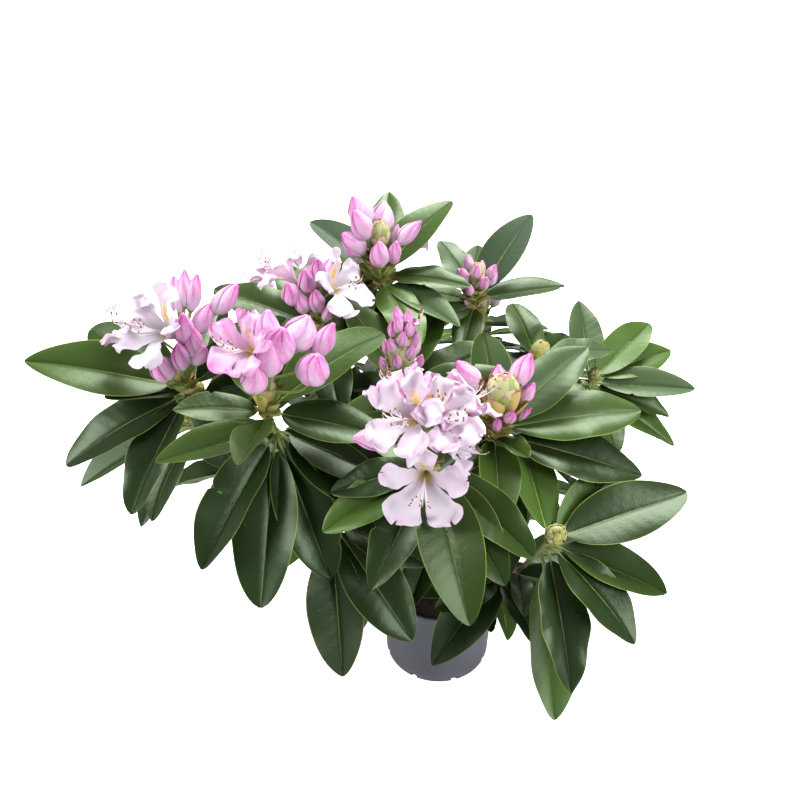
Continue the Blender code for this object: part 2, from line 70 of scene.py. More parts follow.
# Sizes that the source of the solids gives
RIM_RADIUS = POT_BOX[1].x
POT_HEIGHT = POT_BOX[1].z
SOIL_LEVEL = SOIL_BOX[1].z
TRUNK_BASE_RADIUS = 9 * MM
TRUNK_TOP_RADIUS = 6 * MM
ROOT_FLARE = 6 * MM
ROOT_FLARE_HEIGHT = 12 * MM
BUTTRESSES = 5
TRUNK_TOP = Vector((-24, -6, 215)) * MM
TRUNK_SWAY = Vector((4, -3, 0)) * MM
BOUGH_RADIUS = 4.6 * MM
SIDE_BOUGH_RADIUS = 3.6 * MM
SHOOT_RADIUS = 2.8 * MM
SHOOT_LENGTH = 75 * MM
BOUGH_STEPS = 6
BOUGH_SIDES = 7
SHOOT_SIDES = 8
BOUGH_RISE = 35
LEADER_RISE = 60
BOUGH_PULL = 0.35
PETIOLE = 0.15
WIDTH = 0.40
THICKNESS = 0.012
ARCH = 34
STATIONS = (0.0, PETIOLE, 0.28, 0.52, 0.77, 0.92)
FILL_LENGTH = 120 * MM
FILL_RISE = 10
CLEARANCE = 1.2 * MM
BUD_LENGTH = 38 * MM
BUD_RADIUS = 8.5 * MM
STALK_RADIUS = 1.4 * MM
FLOWER_RADIUS = 37 * MM
FLOWER_NOTCH = 0.72
LOBE_SPREAD = 17
FLOWER_DEPTH = 32 * MM
FLOWER_THROAT = 0.38

# Turn in degrees from one scale or leaf to the next round a shoot
GOLDEN = 137.5
# How many leaves are tried along each bough
INNER_TRIES = 16
# Leaves of the solids that would hide what the photo shows, by spray and bearing, and leaves in their stead:
# spray, level below its tip (mm), bearing, rise and length (mm)
LEFT_OUT = {("front", 34), ("front", 101), ("front", 318), ("right", 268), ("upper_right", 320)}
IN_THEIR_STEAD = (("front", 26, 310, -34, 128), ("right", 14, 268, -9, 122), ("front_left", 30, 185, -12, 84),
                  ("right_back", 12, 150, -8, 90))


def toward(bearing, rise):
    b, e = radians(bearing), radians(rise)
    return Vector((cos(b) * cos(e), sin(b) * cos(e), sin(e)))


class Spray:
    """One bough and the leafy shoot that ends it, as in the part's source.

    limb: the limb it grows from, how far along it, and the bearing the bough sets off on
    tip and lean: where the shoot ends (mm), and the bearing and degrees it leans
    leaves: level below the tip (mm), bearing, rise and length (mm); count is made up by rule
    cone: radius and height (mm) of the bud or truss core
    flowers and buds: the solids' blossom, which keeps leaves out of its space
    """

    def __init__(self, limb, tip, lean, leaves=(), count=9, cone=(0, 0), flowers=(), buds=()):
        self.limb = limb
        self.tip = Vector(tip) * MM
        self.lean = lean
        self.axis = toward(lean[0], 90 - lean[1])
        self.foot = self.tip - self.axis * SHOOT_LENGTH
        self.leaves = leaves
        self.count = count
        self.cone_radius, self.cone_height = cone[0] * MM, cone[1] * MM
        self.crown = self.tip + self.axis * self.cone_height * 0.4
        self.flowers = flowers
        self.buds = buds


SPRAYS = {
    "front": Spray(("trunk", 0.82, 280), (-25, -170, 455), (260, 22),
        [(20, 286, -36, 150), (25, 318, -20, 132), (25, 236, -38, 125)], cone=(10, 46),
        flowers=[(215, 55, 60, 0), (315, 50, 60, 0), (263, 0, 58, 22), (338, -2, 54, 4), (192, 8, 54, 4)],
        buds=[(150, 60, 62), (90, 50, 60), (40, 35, 54), (265, 88, 66)]),
    "left": Spray(("trunk", 0.78, 190), (-275, -60, 460), (240, 30),
        [(5, 188, 17, 158), (10, 208, 12, 85), (8, 150, 15, 140), (12, 246, -34, 138), (15, 205, -20, 145)],
        cone=(10, 60), flowers=[(195, 48, 74, 0), (130, 42, 78, 0)],
        buds=[(80, 80, 98), (40, 68, 96), (10, 45, 72), (250, -8, 42), (30, 15, 50), (290, 42, 52)]),
    "front_left": Spray(("left", 0.25, 255), (-180, -130, 480), (250, 22),
        [(8, 200, 15, 88), (15, 262, 8, 95), (8, 350, -10, 120), (8, 35, 18, 142), (42, 335, -25, 152),
            (42, 302, -46, 152), (44, 266, -42, 168), (44, 240, -38, 148), (38, 345, -18, 132),
            (40, 205, 0, 118)], count=11, cone=(10, 60),
        flowers=[(235, 72, 58, 0), (5, 45, 62, 0), (322, 18, 56, 0)],
        buds=[(260, -22, 42), (182, 42, 66), (150, 60, 66), (70, 60, 56), (205, 12, 50)]),
    "right": Spray(("trunk", 0.68, 335), (50, -70, 415), (290, 20),
        [(8, 33, 28, 140), (5, 8, 10, 160), (12, 347, -10, 160), (20, 291, 20, 80), (15, 268, -40, 98),
            (10, 92, 26, 130), (30, 290, -50, 165)], cone=(16, 50),
        buds=[(185, 45, 58), (0, 55, 64), (230, 25, 34), (345, 28, 44), (60, 50, 44), (120, 45, 44),
            (270, -10, 32)]),
    "low_right": Spray(("trunk", 0.4, 305), (100, -165, 345), (300, 28),
        [(5, 44, 15, 115), (5, 20, 12, 153), (12, 315, -27, 126), (12, 343, -15, 128), (15, 281, -44, 145),
            (28, 281, -60, 182), (5, 95, 0, 105)], count=8, cone=(11, 30)),
    "low_left": Spray(("trunk", 0.55, 235), (-125, -140, 355), (260, 22),
        [(15, 278, -55, 160), (12, 318, -40, 148), (16, 300, -50, 145), (10, 345, -20, 112)], count=7,
        cone=(8, 24)),
    "top": Spray(("trunk", 1.0, 120), (-75, 100, 515), (270, 10),
        [(5, 140, 20, 120), (5, 85, 30, 130), (5, 40, 25, 130), (8, 350, 0, 106), (10, 285, -8, 125),
            (15, 240, -20, 110)], cone=(10, 52),
        buds=[(215, 55, 56), (145, 62, 74), (87, 72, 74), (281, 50, 44), (354, 48, 54), (40, 45, 50),
            (185, 15, 52)]),
    "upper_right": Spray(("trunk", 0.9, 45), (40, 120, 475), (270, 10),
        [(5, 45, 40, 130), (5, 18, 2, 120), (10, 255, -15, 92), (8, 85, 22, 100), (8, 115, 20, 105),
            (12, 320, -15, 110)], cone=(9, 38),
        buds=[(270, 65, 36), (330, 55, 40), (60, 60, 38), (200, 55, 34)]),
    "middle_left": Spray(("top", 0.3, 190), (-145, 50, 475), (240, 20),
        [(5, 163, 13, 134), (5, 122, 22, 110)], cone=(10, 50), flowers=[(330, 42, 62, 0), (140, 52, 70, 0)],
        buds=[(215, 40, 54), (172, 12, 54), (250, 20, 46), (60, 55, 52), (225, 75, 58)]),
    "centre": Spray(("front", 0.2, 60), (-50, -20, 445), (270, 10),
        [(10, 66, 26, 120), (10, 131, 28, 120), (15, 150, -20, 110)], cone=(14, 54),
        buds=[(250, 45, 40), (310, 50, 42), (20, 45, 40), (175, 45, 40), (95, 75, 54), (345, 10, 38),
            (215, 10, 38)]),
    "far_right": Spray(("trunk", 0.52, 10), (190, 100, 370), (300, 20),
        [(5, 43, 18, 130), (5, 30, 9, 140), (8, 355, 0, 132), (12, 350, -18, 112), (14, 340, -28, 134),
            (5, 92, 33, 120)], cone=(8, 26)),
    "right_back": Spray(("upper_right", 0.35, 350), (115, 80, 410), (300, 15),
        [(5, 101, 16, 110), (8, 56, -4, 110), (8, 20, 0, 110)], count=7, cone=(12, 38)),
    "lower_left": Spray(("left", 0.45, 150), (-300, 20, 360), (220, 25),
        [(10, 200, -20, 150), (12, 240, -40, 120), (14, 224, -40, 135)], count=7, cone=(9, 28)),
    "low_middle": Spray(("low_right", 0.3, 290), (75, -90, 255), (300, 20),
        [(8, 225, -32, 150), (12, 300, -10, 100)], count=6, cone=(7, 20)),
    "back": Spray(("trunk", 0.76, 80), (-70, 270, 430), (90, 20), cone=(10, 46),
        flowers=[(60, 35, 60, 0), (130, 40, 60, 0)],
        buds=[(0, 55, 52), (95, 80, 62), (185, 45, 52), (90, 0, 48), (250, 50, 50)]),
    "back_left": Spray(("trunk", 0.6, 150), (-190, 200, 400), (130, 20), cone=(10, 46),
        flowers=[(95, 40, 60, 0), (165, 35, 60, 0)],
        buds=[(20, 55, 52), (50, 20, 50), (225, 50, 52), (125, 80, 62)]),
    "back_right": Spray(("back", 0.35, 30), (60, 245, 380), (75, 22), count=8, cone=(12, 48),
        buds=[(90, 60, 42), (20, 50, 40), (150, 55, 40), (270, 55, 40), (70, 10, 38)]),
    "outer_left": Spray(("back_left", 0.45, 175), (-315, 130, 330), (160, 25), count=8, cone=(9, 28)),
    "low_back": Spray(("trunk", 0.4, 55), (165, 205, 325), (50, 22), count=8, cone=(8, 26)),
    "low_back_left": Spray(("trunk", 0.36, 120), (-100, 185, 265), (115, 26), count=7, cone=(8, 24)),
}


class Truss:
    """The blossom at the end of a shoot, on its own nearly upright stalk.

    lean: the bearing and degrees its stalk leans
    flowers: height up the stalk (mm), bearing, rise, reach (mm), size, pinkness and openness from 0 to 1
    buds: height up the stalk (mm), bearing, rise and reach (mm), how fat, and how far out it stands (mm)
    core: radius, height and foot (mm) of the scaly cone in its middle
    pinkness and bud_share: how pink its buds are, and how much of their reach is bud and not stalk
    bract: how large the loose scales at its foot are
    collar: height above the tip, radius and length (mm) of a ring of upright loose scales
    """

    def __init__(self, lean, flowers=(), buds=(), core=(7, 26, 4), pinkness=0.55, bud_share=0.66,
                 bract=1.0, collar=None):
        self.axis = toward(lean[0], 90 - lean[1])
        self.flowers = flowers
        self.buds = buds
        self.core_radius, self.core_height, self.core_foot = (size * MM for size in core)
        self.pinkness = pinkness
        self.bud_share = bud_share
        self.bract = bract
        self.collar = collar


TRUSSES = {
    "front": Truss((260, 12),
        [(-10, 262, 14, 60, 1.1, 0.14, 1.0), (35, 238, 44, 58, 1.0, 0.18, 0.95),
            (35, 300, 48, 48, 0.9, 0.2, 0.95), (16, 345, 12, 30, 0.8, 0.2, 0.85),
            (26, 285, 72, 48, 0.85, 0.35, 0.8), (26, 150, 55, 56, 0.9, 0.35, 0.8),
            (20, 30, 40, 56, 0.9, 0.2, 0.9)],
        [(20, 192, 10, 70, 0.9, 0), (26, 90, 50, 58, 1, 0), (10, 225, 30, 46, 0.9, 0)]),
    "left": Truss((60, 8), [(50, 228, 46, 48, 1.12, 0.04, 1.0), (34, 176, 42, 66, 0.9, 0.08, 0.95)],
        [(4, 240, 85, 46, 1.25, 22), (18, 330, 84, 56, 0.85, 16), (40, 98, 74, 76, 0.66, 0),
            (40, 72, 72, 82, 0.64, 0), (40, 48, 68, 80, 0.68, 0), (38, 30, 51, 60, 0.9, 0),
            (40, 25, 44, 88, 0.9, 0), (34, 306, 77, 58, 0.9, 6), (20, 331, 52, 45, 0.9, 6),
            (14, 285, 80, 50, 0.9, 16)], pinkness=0.85, core=(8, 34, 6)),
    "front_left": Truss((60, 10), [(46, 240, 48, 50, 0.9, 0.62, 0.78)],
        [(16, 262, 84, 46, 1.25, 22), (18, 345, 70, 50, 1.5, 38), (38, 20, 65, 55, 1.5, 20),
            (20, 300, 80, 62, 1.0, 12), (35, 112, 65, 60, 1, 0), (38, 70, 75, 58, 1.1, 0),
            (30, 10, 60, 60, 0.85, 36), (28, 160, 40, 56, 1, 0), (34, 330, 72, 58, 1.2, 8)], pinkness=0.78,
        core=(8, 34, 6), collar=(4, 6, 21)),
    "right": Truss((290, 8), [],
        [(26, 172, 54, 66, 1.0, 8), (24, 26, 61, 68, 1.0, 0), (18, 8, 60, 42, 0.9, 14),
            (8, 200, 66, 40, 0.9, 18), (4, 262, 70, 30, 0.8, 20), (14, 240, 80, 36, 0.8, 14),
            (14, 290, 60, 30, 1.0, 15), (6, 352, 50, 30, 0.75, 14), (20, 90, 60, 48, 1, 6)],
        core=(17, 44, 28), pinkness=1.0, bract=1.3, collar=(30, 16, 27)),
    "top": Truss((270, 6), [],
        [(26, 166, 65, 72, 1.15, 0), (24, 205, 70, 62, 1.0, 8), (26, 80, 62, 60, 1.05, 0),
            (20, 3, 43, 64, 0.8, 0), (14, 194, 48, 54, 1.25, 6), (2, 270, 84, 48, 1.1, 20),
            (6, 312, 76, 44, 0.9, 18), (24, 20, 74, 36, 0.7, 12), (22, 130, 30, 50, 1, 0)],
        core=(11, 34, 34), pinkness=0.78, bract=1.4, collar=(6, 9, 27)),
    "upper_right": Truss((270, 5), [],
        [(3 + 2.6 * k, 240 + GOLDEN * k, 58 + 2 * k, 29, 0.95, 11) for k in range(9)], core=(10, 42, 6),
        pinkness=0.85, collar=(3, 7, 19)),
    "middle_left": Truss((100, 5), [(26, 325, 42, 58, 0.98, 0.06, 1.0), (26, 168, 45, 60, 0.85, 0.16, 0.95)],
        [(30, 293, 76, 56, 0.9, 0), (28, 240, 76, 48, 1.1, 8), (18, 215, 72, 44, 1.2, 22),
            (10, 236, 80, 40, 1.0, 20), (12, 275, 80, 42, 1.1, 17), (4, 300, 60, 36, 0.8, 14),
            (26, 60, 55, 52, 1, 0)], pinkness=0.85, core=(8, 34, 6)),
    "centre": Truss((270, 5), [(48, 10, 70, 22, 0.4, 0.35, 0.4)],
        [(5 + 3.0 * k, 200 + GOLDEN * k, 70 + k, 29, 0.9, 14 - 0.5 * k) for k in range(19)],
        core=(14, 56, 4), pinkness=0.88, bract=1.1, collar=(4, 10, 22)),
    "back": Truss((90, 10), [(20, 60, 35, 60, 1.0, 0.08, 1.0), (20, 130, 40, 60, 1.0, 0.15, 0.95)],
        [(20, 0, 55, 52, 1, 0), (25, 95, 80, 62, 1, 0), (20, 185, 45, 52, 1, 0), (6, 92, 60, 48, 1.1, 18),
            (22, 250, 50, 50, 1, 0)]),
    "back_left": Truss((130, 10), [(20, 95, 40, 60, 1.0, 0.1, 1.0), (20, 165, 35, 60, 0.95, 0.3, 0.85)],
        [(20, 20, 55, 52, 1, 0), (12, 50, 20, 50, 1, 0), (20, 225, 50, 52, 1, 0),
            (25, 125, 80, 62, 1.2, 0)]),
    "back_right": Truss((75, 10), [],
        [(6 + 4 * k, 60 + GOLDEN * k, 60 + 2 * k, 34, 1.0, 12) for k in range(10)], core=(12, 46, 6),
        pinkness=0.66),
}

# Plain base colours, and how rough each is
FINISHES = {
    # The leaf tones from deep to blue are one green dealt out in painted light: the deepest ones are painted
    # shade, the grey and blue ones a painted sky sheen
    "leaf_deep": ((0.010, 0.022, 0.004), 0.36), "leaf_dark": ((0.019, 0.039, 0.005), 0.37),
    "leaf_mid": ((0.029, 0.057, 0.007), 0.39), "leaf_grey": ((0.034, 0.060, 0.021), 0.43),
    "leaf_blue": ((0.028, 0.050, 0.026), 0.43),
    "leaf_fresh": ((0.046, 0.092, 0.012), 0.40), "leaf_rib": ((0.078, 0.118, 0.042), 0.5),
    # leaf_margin is the blade's own paler rim, made yellower by painted light shining through its thin edge
    "leaf_margin": ((0.135, 0.185, 0.025), 0.5), "leaf_under": ((0.070, 0.110, 0.045), 0.6),
    "stalk": ((0.20, 0.25, 0.055), 0.5), "calyx": ((0.18, 0.25, 0.05), 0.5),
    "scale_green": ((0.25, 0.30, 0.08), 0.5), "scale_cream": ((0.46, 0.44, 0.24), 0.55),
    "scale_yellow": ((0.40, 0.37, 0.09), 0.5), "scale_olive": ((0.32, 0.31, 0.09), 0.6),
    "scale_gold": ((0.52, 0.38, 0.12), 0.6), "scale_tan": ((0.42, 0.27, 0.12), 0.65),
    "scale_brown": ((0.17, 0.095, 0.04), 0.7), "scale_pale": ((0.36, 0.40, 0.17), 0.55),
    "scale_rose": ((0.38, 0.17, 0.16), 0.6),
    "blotch": ((0.64, 0.42, 0.07), 0.6), "blotch_pale": ((0.68, 0.56, 0.28), 0.6),
    "throat": ((0.66, 0.55, 0.25), 0.6), "filament": ((0.80, 0.74, 0.77), 0.5),
    "anther": ((0.22, 0.12, 0.05), 0.8),
}
# From the whitest to the deepest petal, and the tints made between them
PETAL_COLOURS = ((0.55, 0.51, 0.57), (0.60, 0.46, 0.58), (0.64, 0.33, 0.56), (0.56, 0.15, 0.41),
                 (0.32, 0.03, 0.20))
TINT_COUNT = 13
for tint in range(TINT_COUNT):
    step = tint / (TINT_COUNT - 1) * (len(PETAL_COLOURS) - 1)
    low = min(int(step), len(PETAL_COLOURS) - 2)
    mixed = [a + (b - a) * (step - low) for a, b in zip(PETAL_COLOURS[low], PETAL_COLOURS[low + 1])]
    FINISHES[f"petal_{tint:02d}"] = tuple(mixed), 0.5


def petal_tint(depth):
    """The petal finish nearest to a depth of pink from 0 to 1."""
    return f"petal_{max(0, min(TINT_COUNT - 1, round(depth * (TINT_COUNT - 1)))):02d}"


# Shapes
def loft(rings):
    """Skin over rings of points, equal or three times as fine as the last, or one point as a tip."""
    points, faces, starts = [], [], []
    for ring in rings:
        starts.append(len(points))
        points.extend(ring)
    for a, b, ring, after in zip(starts, starts[1:], rings, rings[1:]):
        n, m = len(ring), len(after)
        if m == 1:
            faces += [(a + i, a + (i + 1) % n, b) for i in range(n)]
        elif m == n:
            faces += [(a + i, a + (i + 1) % n, b + (i + 1) % n, b + i) for i in range(n)]
        else:
            wide, fine = (a, b) if m > n else (b, a)
            for i in range(min(m, n)):
                f = [fine + (3 * i + k) % (3 * min(m, n)) for k in range(4)]
                here, there = wide + i, wide + (i + 1) % min(m, n)
                faces += [(here, f[1], f[0]), (here, f[2], f[1]), (here, there, f[2]), (there, f[3], f[2])]
    faces.append(tuple(reversed(range(len(rings[0])))))
    if len(rings[-1]) > 1:
        faces.append(tuple(starts[-1] + i for i in range(len(rings[-1]))))
    return points, faces


def across(direction):
    side = direction.cross(UP)
    if side.length < 0.05:
        side = direction.cross(Vector((0, 1, 0)))
    side.normalize()
    return side, direction.cross(side).normalized()


def ring_about(centre, direction, radii, turn=0.0, angles=None):
    u, v = across(direction)
    angles = angles or [2 * pi * i / len(radii) for i in range(len(radii))]
    return [centre + (u * cos(turn + a) + v * sin(turn + a)) * r for a, r in zip(angles, radii)]


def rod(path, radii, sides, last=None):
    """A round rod along a path, its rings carried from one to the next without twist."""
    rings, u = [], None
    for i, centre in enumerate(path):
        along = (path[min(i + 1, len(path) - 1)] - path[max(i - 1, 0)]).normalized()
        if last and i == len(path) - 1:
            along = last
        u = across(along)[0] if u is None else (u - along * u.dot(along)).normalized()
        v = along.cross(u)
        rings.append([centre + (u * cos(2 * pi * k / sides) + v * sin(2 * pi * k / sides)) * radii[i]
                      for k in range(sides)])
    return loft(rings)


def curve(start, start_pull, end_pull, end, steps):
    return [start * (1 - t) ** 3 + start_pull * 3 * t * (1 - t) ** 2 + end_pull * 3 * t * t * (1 - t)
            + end * t ** 3 for t in [i / steps for i in range(steps + 1)]]


# The solids' own leaves and blossom, which say where each leaf may grow
def half_width(t, length):
    if t <= PETIOLE:
        return length * 0.014
    u = (t - PETIOLE) / (1 - PETIOLE)
    return length * WIDTH / 2 * sin(pi * u ** 0.92) ** 0.62 * (1 - 0.1 * u)


def leaf_frame(bearing, rise, axis):
    """The way a leaf points, its upper side and its left side."""
    along = toward(bearing, rise)
    up = axis - along * axis.dot(along)
    if up.length < 0.25:
        level = toward(bearing, 0)
        up += 0.5 * (level - along * level.dot(along)) + 0.2 * (UP - along * UP.dot(along))
    up.normalize()
    return along, up, along.cross(up)


def solid_leaf(root, bearing, rise, length, axis, extra=0.0):
    along, up, side = leaf_frame(bearing, rise, axis)
    bend = radians(ARCH)
    rings = []
    for t in STATIONS + (1.0,):
        a = bend / 2 - bend * t
        arc = along * (sin(bend / 2) - sin(a)) + up * (cos(a) - cos(bend / 2))
        centre = root + length * arc / (2 * sin(bend / 2))
        look = up * cos(a) - along * sin(a)
        if t == 1.0:
            rings.append([centre + along * extra])
            break
        wide = side * (half_width(t, length) + extra)
        keel = look * (max(length * THICKNESS, 1.6 * MM) + extra)
        rings.append([centre + wide + look * extra, centre - keel, centre - wide + look * extra])
    return loft(rings)


def solid_bud(root, direction, reach):
    length = min(BUD_LENGTH, reach * 0.85)
    radius = BUD_RADIUS * (0.5 + 0.5 * length / BUD_LENGTH)
    rings = [ring_about(root + direction * d, direction, [r] * 5)
             for d, r in ((3 * MM, STALK_RADIUS), (reach - length, STALK_RADIUS * 1.3),
                          (reach - length * 0.45, radius))]
    return loft(rings + [[root + direction * reach]])


def solid_flower(root, direction, reach, size, turn):
    radius, depth = FLOWER_RADIUS * size, FLOWER_DEPTH * size
    mouth = root + direction * reach
    lobes = [radius * r for r in (FLOWER_NOTCH, 1, 1)] * 5
    angles = [radians(72 * k + a) for k in range(5) for a in (0, 36 - LOBE_SPREAD, 36 + LOBE_SPREAD)]
    stem, throat = [STALK_RADIUS] * 5, radius * FLOWER_THROAT
    rings = [ring_about(root + direction * 3 * MM, direction, stem, turn),
             ring_about(mouth - direction * depth, direction, [STALK_RADIUS * 2] * 5, turn),
             ring_about(mouth - direction * depth * 0.36, direction, [throat] * 5, turn),
             ring_about(mouth, direction, lobes, turn, angles),
             ring_about(mouth - direction * depth * 0.26, direction, [throat * 0.9] * 5, turn),
             [mouth - direction * depth * 0.75]]
    return loft(rings)


def spindle(root, direction, height, radius):
    rings = [ring_about(root + direction * height * d, direction, [radius * r] * 7)
             for d, r in ((0, 0.42), (0.32, 1), (0.70, 0.80))]
    return loft(rings + [[root + direction * height]])


# Limbs
trunk_foot = Vector((0, 0, SOIL_LEVEL + GAP))


def trunk_at(share):
    return trunk_foot.lerp(TRUNK_TOP, share) + TRUNK_SWAY * sin(pi * share)


def trunk_shape(extra=0.0):
    sides = BUTTRESSES * 3
    rings = []
    for share in (0, 0.05, 0.12, 0.35, 0.6, 0.85, 1.0):
        height = (TRUNK_TOP - trunk_foot).length * share
        radius = TRUNK_BASE_RADIUS + (TRUNK_TOP_RADIUS - TRUNK_BASE_RADIUS) * share + extra
        radius += ROOT_FLARE * max(0.0, 1 - height / ROOT_FLARE_HEIGHT) ** 2
        ripple = ROOT_FLARE * 0.3 * max(0.0, 1 - share / 0.12)
        centre = trunk_at(share) + UP * (extra if share == 1.0 else -extra if share == 0 else 0)
        rings.append([centre + toward(360 * k / sides, 0) * (radius + ripple * (1 if k % 3 == 0 else -0.5))
                      for k in range(sides)])
    return loft(rings)


def bough_lines():
    """The middle line and radii of every bough, by name."""
    lines, ways = {}, {"trunk": trunk_at}
    for name, spray in SPRAYS.items():
        limb, share, bearing = spray.limb
        start = ways[limb](share * 0.95)
        pull = (spray.foot - start).length * BOUGH_PULL
        first = toward(bearing, LEADER_RISE if share == 1.0 else BOUGH_RISE)
        thick = BOUGH_RADIUS if limb == "trunk" else SIDE_BOUGH_RADIUS
        path = curve(start, start + first * pull, spray.foot - spray.axis * pull, spray.foot, BOUGH_STEPS)
        radii = [thick + (SHOOT_RADIUS * 1.08 - thick) * i / BOUGH_STEPS for i in range(BOUGH_STEPS + 1)]

        def along_path(t, path=path):
            i = min(int(t * (len(path) - 1)), len(path) - 2)
            return path[i].lerp(path[i + 1], t * (len(path) - 1) - i)
        ways[name] = along_path
        lines[name] = path, radii
    return lines


# Dealing out the leaves, as the part's source does
FLOWER_NUDGES = [(0, 0, 1), (8, 0, 1), (-8, 0, 1), (0, 10, 1), (0, -10, 1), (0, 0, 0.88), (12, 8, 0.88),
                 (-12, 8, 0.88), (12, -8, 0.88), (-12, -8, 0.88), (0, 0, 0.76), (18, 0, 0.76), (-18, 0, 0.76)]
LEAF_NUDGES = [(0, 0, 1), (5, 0, 1), (-5, 0, 1), (0, 6, 1), (0, -6, 1), (8, -5, 0.95), (-8, -5, 0.95),
               (8, 6, 0.95), (-8, 6, 0.95), (14, 0, 0.9), (-14, 0, 0.9), (0, 12, 0.85), (0, -12, 0.85),
               (18, -8, 0.85), (-18, -8, 0.85), (0, 0, 0.75)]


def tree_of(shape):
    return BVHTree.FromPolygons([tuple(p) for p in shape[0]], shape[1])


def beyond(shape, first):
    """The part of a loft past its first points, so that roots sunk in one stem don't count as touching."""
    return shape[0][first:], [tuple(i - first for i in f) for f in shape[1] if min(f) >= first]


class Space:
    """Which spray holds each piece of space."""

    def __init__(self):
        self.taken = []

    def is_free(self, shape, owner, own_too=False):
        tree = tree_of(shape)
        return not any((whose != owner or (own_too and not core)) and tree.overlap(other)
                       for whose, other, core in self.taken)

    def keep(self, shape, owner, sunk=0):
        self.taken.append((owner, tree_of(shape), True))
        if sunk:
            self.taken.append((owner, tree_of(beyond(shape, sunk)), False))


def dealt_leaves():
    """Every leaf that clears the rest: its spray, root, bearing, rise and length."""
    space = Space()
    space.keep(loft([ring_about(UP * z, UP, [RIM_RADIUS + 1 * MM] * 24) for z in (0, POT_HEIGHT + 1 * MM)]),
               "pot")
    space.keep(trunk_shape(), "trunk")
    for name, (path, radii) in bough_lines().items():
        space.keep(rod(path, radii, BOUGH_SIDES, SPRAYS[name].axis), f"bough_{name}")
    for name, spray in SPRAYS.items():
        foot = spray.foot + spray.axis * GAP
        head = spray.tip + spray.axis * spray.cone_height * 0.3
        space.keep(rod([foot, foot.lerp(head, 0.5), head], [SHOOT_RADIUS, SHOOT_RADIUS, SHOOT_RADIUS * 0.8],
                       SHOOT_SIDES), name)
        cone = spindle(spray.tip - spray.axis * 2 * MM, spray.axis, spray.cone_height, spray.cone_radius)
        space.keep(cone, name)
    for name, spray in SPRAYS.items():
        shapes = [[solid_flower(spray.crown - spray.axis * drop * MM, toward(bearing + turn, rise + lift),
                                reach * MM, size, k * 0.7) for turn, lift, size in FLOWER_NUDGES]
                  for k, (bearing, rise, reach, drop) in enumerate(spray.flowers)]
        shapes += [[solid_bud(spray.crown, toward(bearing + turn, rise + lift), reach * MM)
                    for turn, lift, _ in FLOWER_NUDGES[:5]] for bearing, rise, reach in spray.buds]
        for tries in shapes:
            for shape in tries:
                if space.is_free(shape, name) and space.is_free(beyond(shape, 5), name, own_too=True):
                    space.keep(shape, name, sunk=5)
                    break
    found = []

    def place(name, drop, bearing, rise, length):
        spray = SPRAYS[name]
        root = spray.tip - spray.axis * drop
        for turn, lift, share in LEAF_NUDGES:
            where = root, bearing + turn, rise + lift, length * share, spray.axis
            fat = solid_leaf(*where, CLEARANCE)
            made = solid_leaf(*where)
            if (space.is_free(made, name) and space.is_free(fat, name)
                    and space.is_free(beyond(fat, 3), name, own_too=True)):
                space.keep(made, name, sunk=3)
                found.append((name, *where[:4]))
                return

    for name, spray in SPRAYS.items():
        for drop, bearing, rise, length in spray.leaves:
            place(name, drop * MM, bearing, rise, length * MM)
    random.seed(7)
    # Leaves by rule go into the widest gap between the bearings of a spray
    for name, spray in SPRAYS.items():
        dealt = [leaf[2] % 360 for leaf in found if leaf[0] == name] or [random.uniform(0, 360)]
        for k in range(spray.count - len(spray.leaves)):
            dealt.sort()
            wide, start = max(((after - here) % 360 or 360, here)
                              for here, after in zip(dealt, dealt[1:] + dealt[:1]))
            bearing = (start + wide / 2) % 360
            dealt.append(bearing)
            sink = spray.lean[1] * cos(radians(bearing - spray.lean[0]))
            rise = FILL_RISE - sink - 9 * (k % 3) + random.uniform(-4, 4)
            place(name, (8 + 5 * k) * MM, bearing, rise, FILL_LENGTH * random.uniform(0.88, 1.1))
    return found, space


def inner_leaves(space):
    """Smaller leaves along the boughs, in the space that the sprays leave free."""
    found = []
    dice = random.Random(41)
    for name, (path, _) in bough_lines().items():
        for k in range(INNER_TRIES):
            share = 0.30 + 0.62 * k / INNER_TRIES
            i = int(share * (len(path) - 1))
            root = path[i].lerp(path[i + 1], share * (len(path) - 1) - i)
            along = (path[i + 1] - path[i]).normalized()
            bearing, rise = GOLDEN * k + dice.uniform(-15, 15), dice.uniform(-15, 30)
            length = dice.uniform(70, 105) * MM
            fat = solid_leaf(root, bearing, rise, length, along, CLEARANCE)
            if space.is_free(beyond(fat, 3), "inner leaves"):
                space.keep(solid_leaf(root, bearing, rise, length, along), f"inner {name} {k}")
                found.append((name, root, bearing, rise, length, along))
    return found


# Gathering many small shapes into one mesh, each face with its own finish
class Joined:
    def __init__(self, name):
        self.name = name
        self.points, self.faces, self.kinds = [], [], []

    def add(self, points, faces, kinds):
        """kinds is one finish for all the faces, or a list with one for each."""
        start = len(self.points)
        self.points.extend(map(tuple, points))
        self.faces.extend(tuple(start + i for i in face) for face in faces)
        self.kinds.extend([kinds] * len(faces) if isinstance(kinds, str) else kinds)

    def made(self, sharp=60):
        mesh = bpy.data.meshes.new(self.name)
        mesh.from_pydata(self.points, [], self.faces)
        order = sorted(set(self.kinds))
        for kind in order:
            mesh.materials.append(plain_finish(kind))
        number = {kind: i for i, kind in enumerate(order)}
        mesh.polygons.foreach_set("material_index", [number[kind] for kind in self.kinds])
        mesh.shade_smooth()
        mesh.set_sharp_from_angle(angle=radians(sharp))
        return placed(self.name, mesh)


def placed(name, mesh):
    piece = bpy.data.objects.new(name, mesh)
    bpy.context.scene.collection.objects.link(piece)
    return piece


def settle(piece, nodes):
    """The piece moves with the plant and stands for the nodes."""
    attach(piece, BODY)
    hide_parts(*nodes)


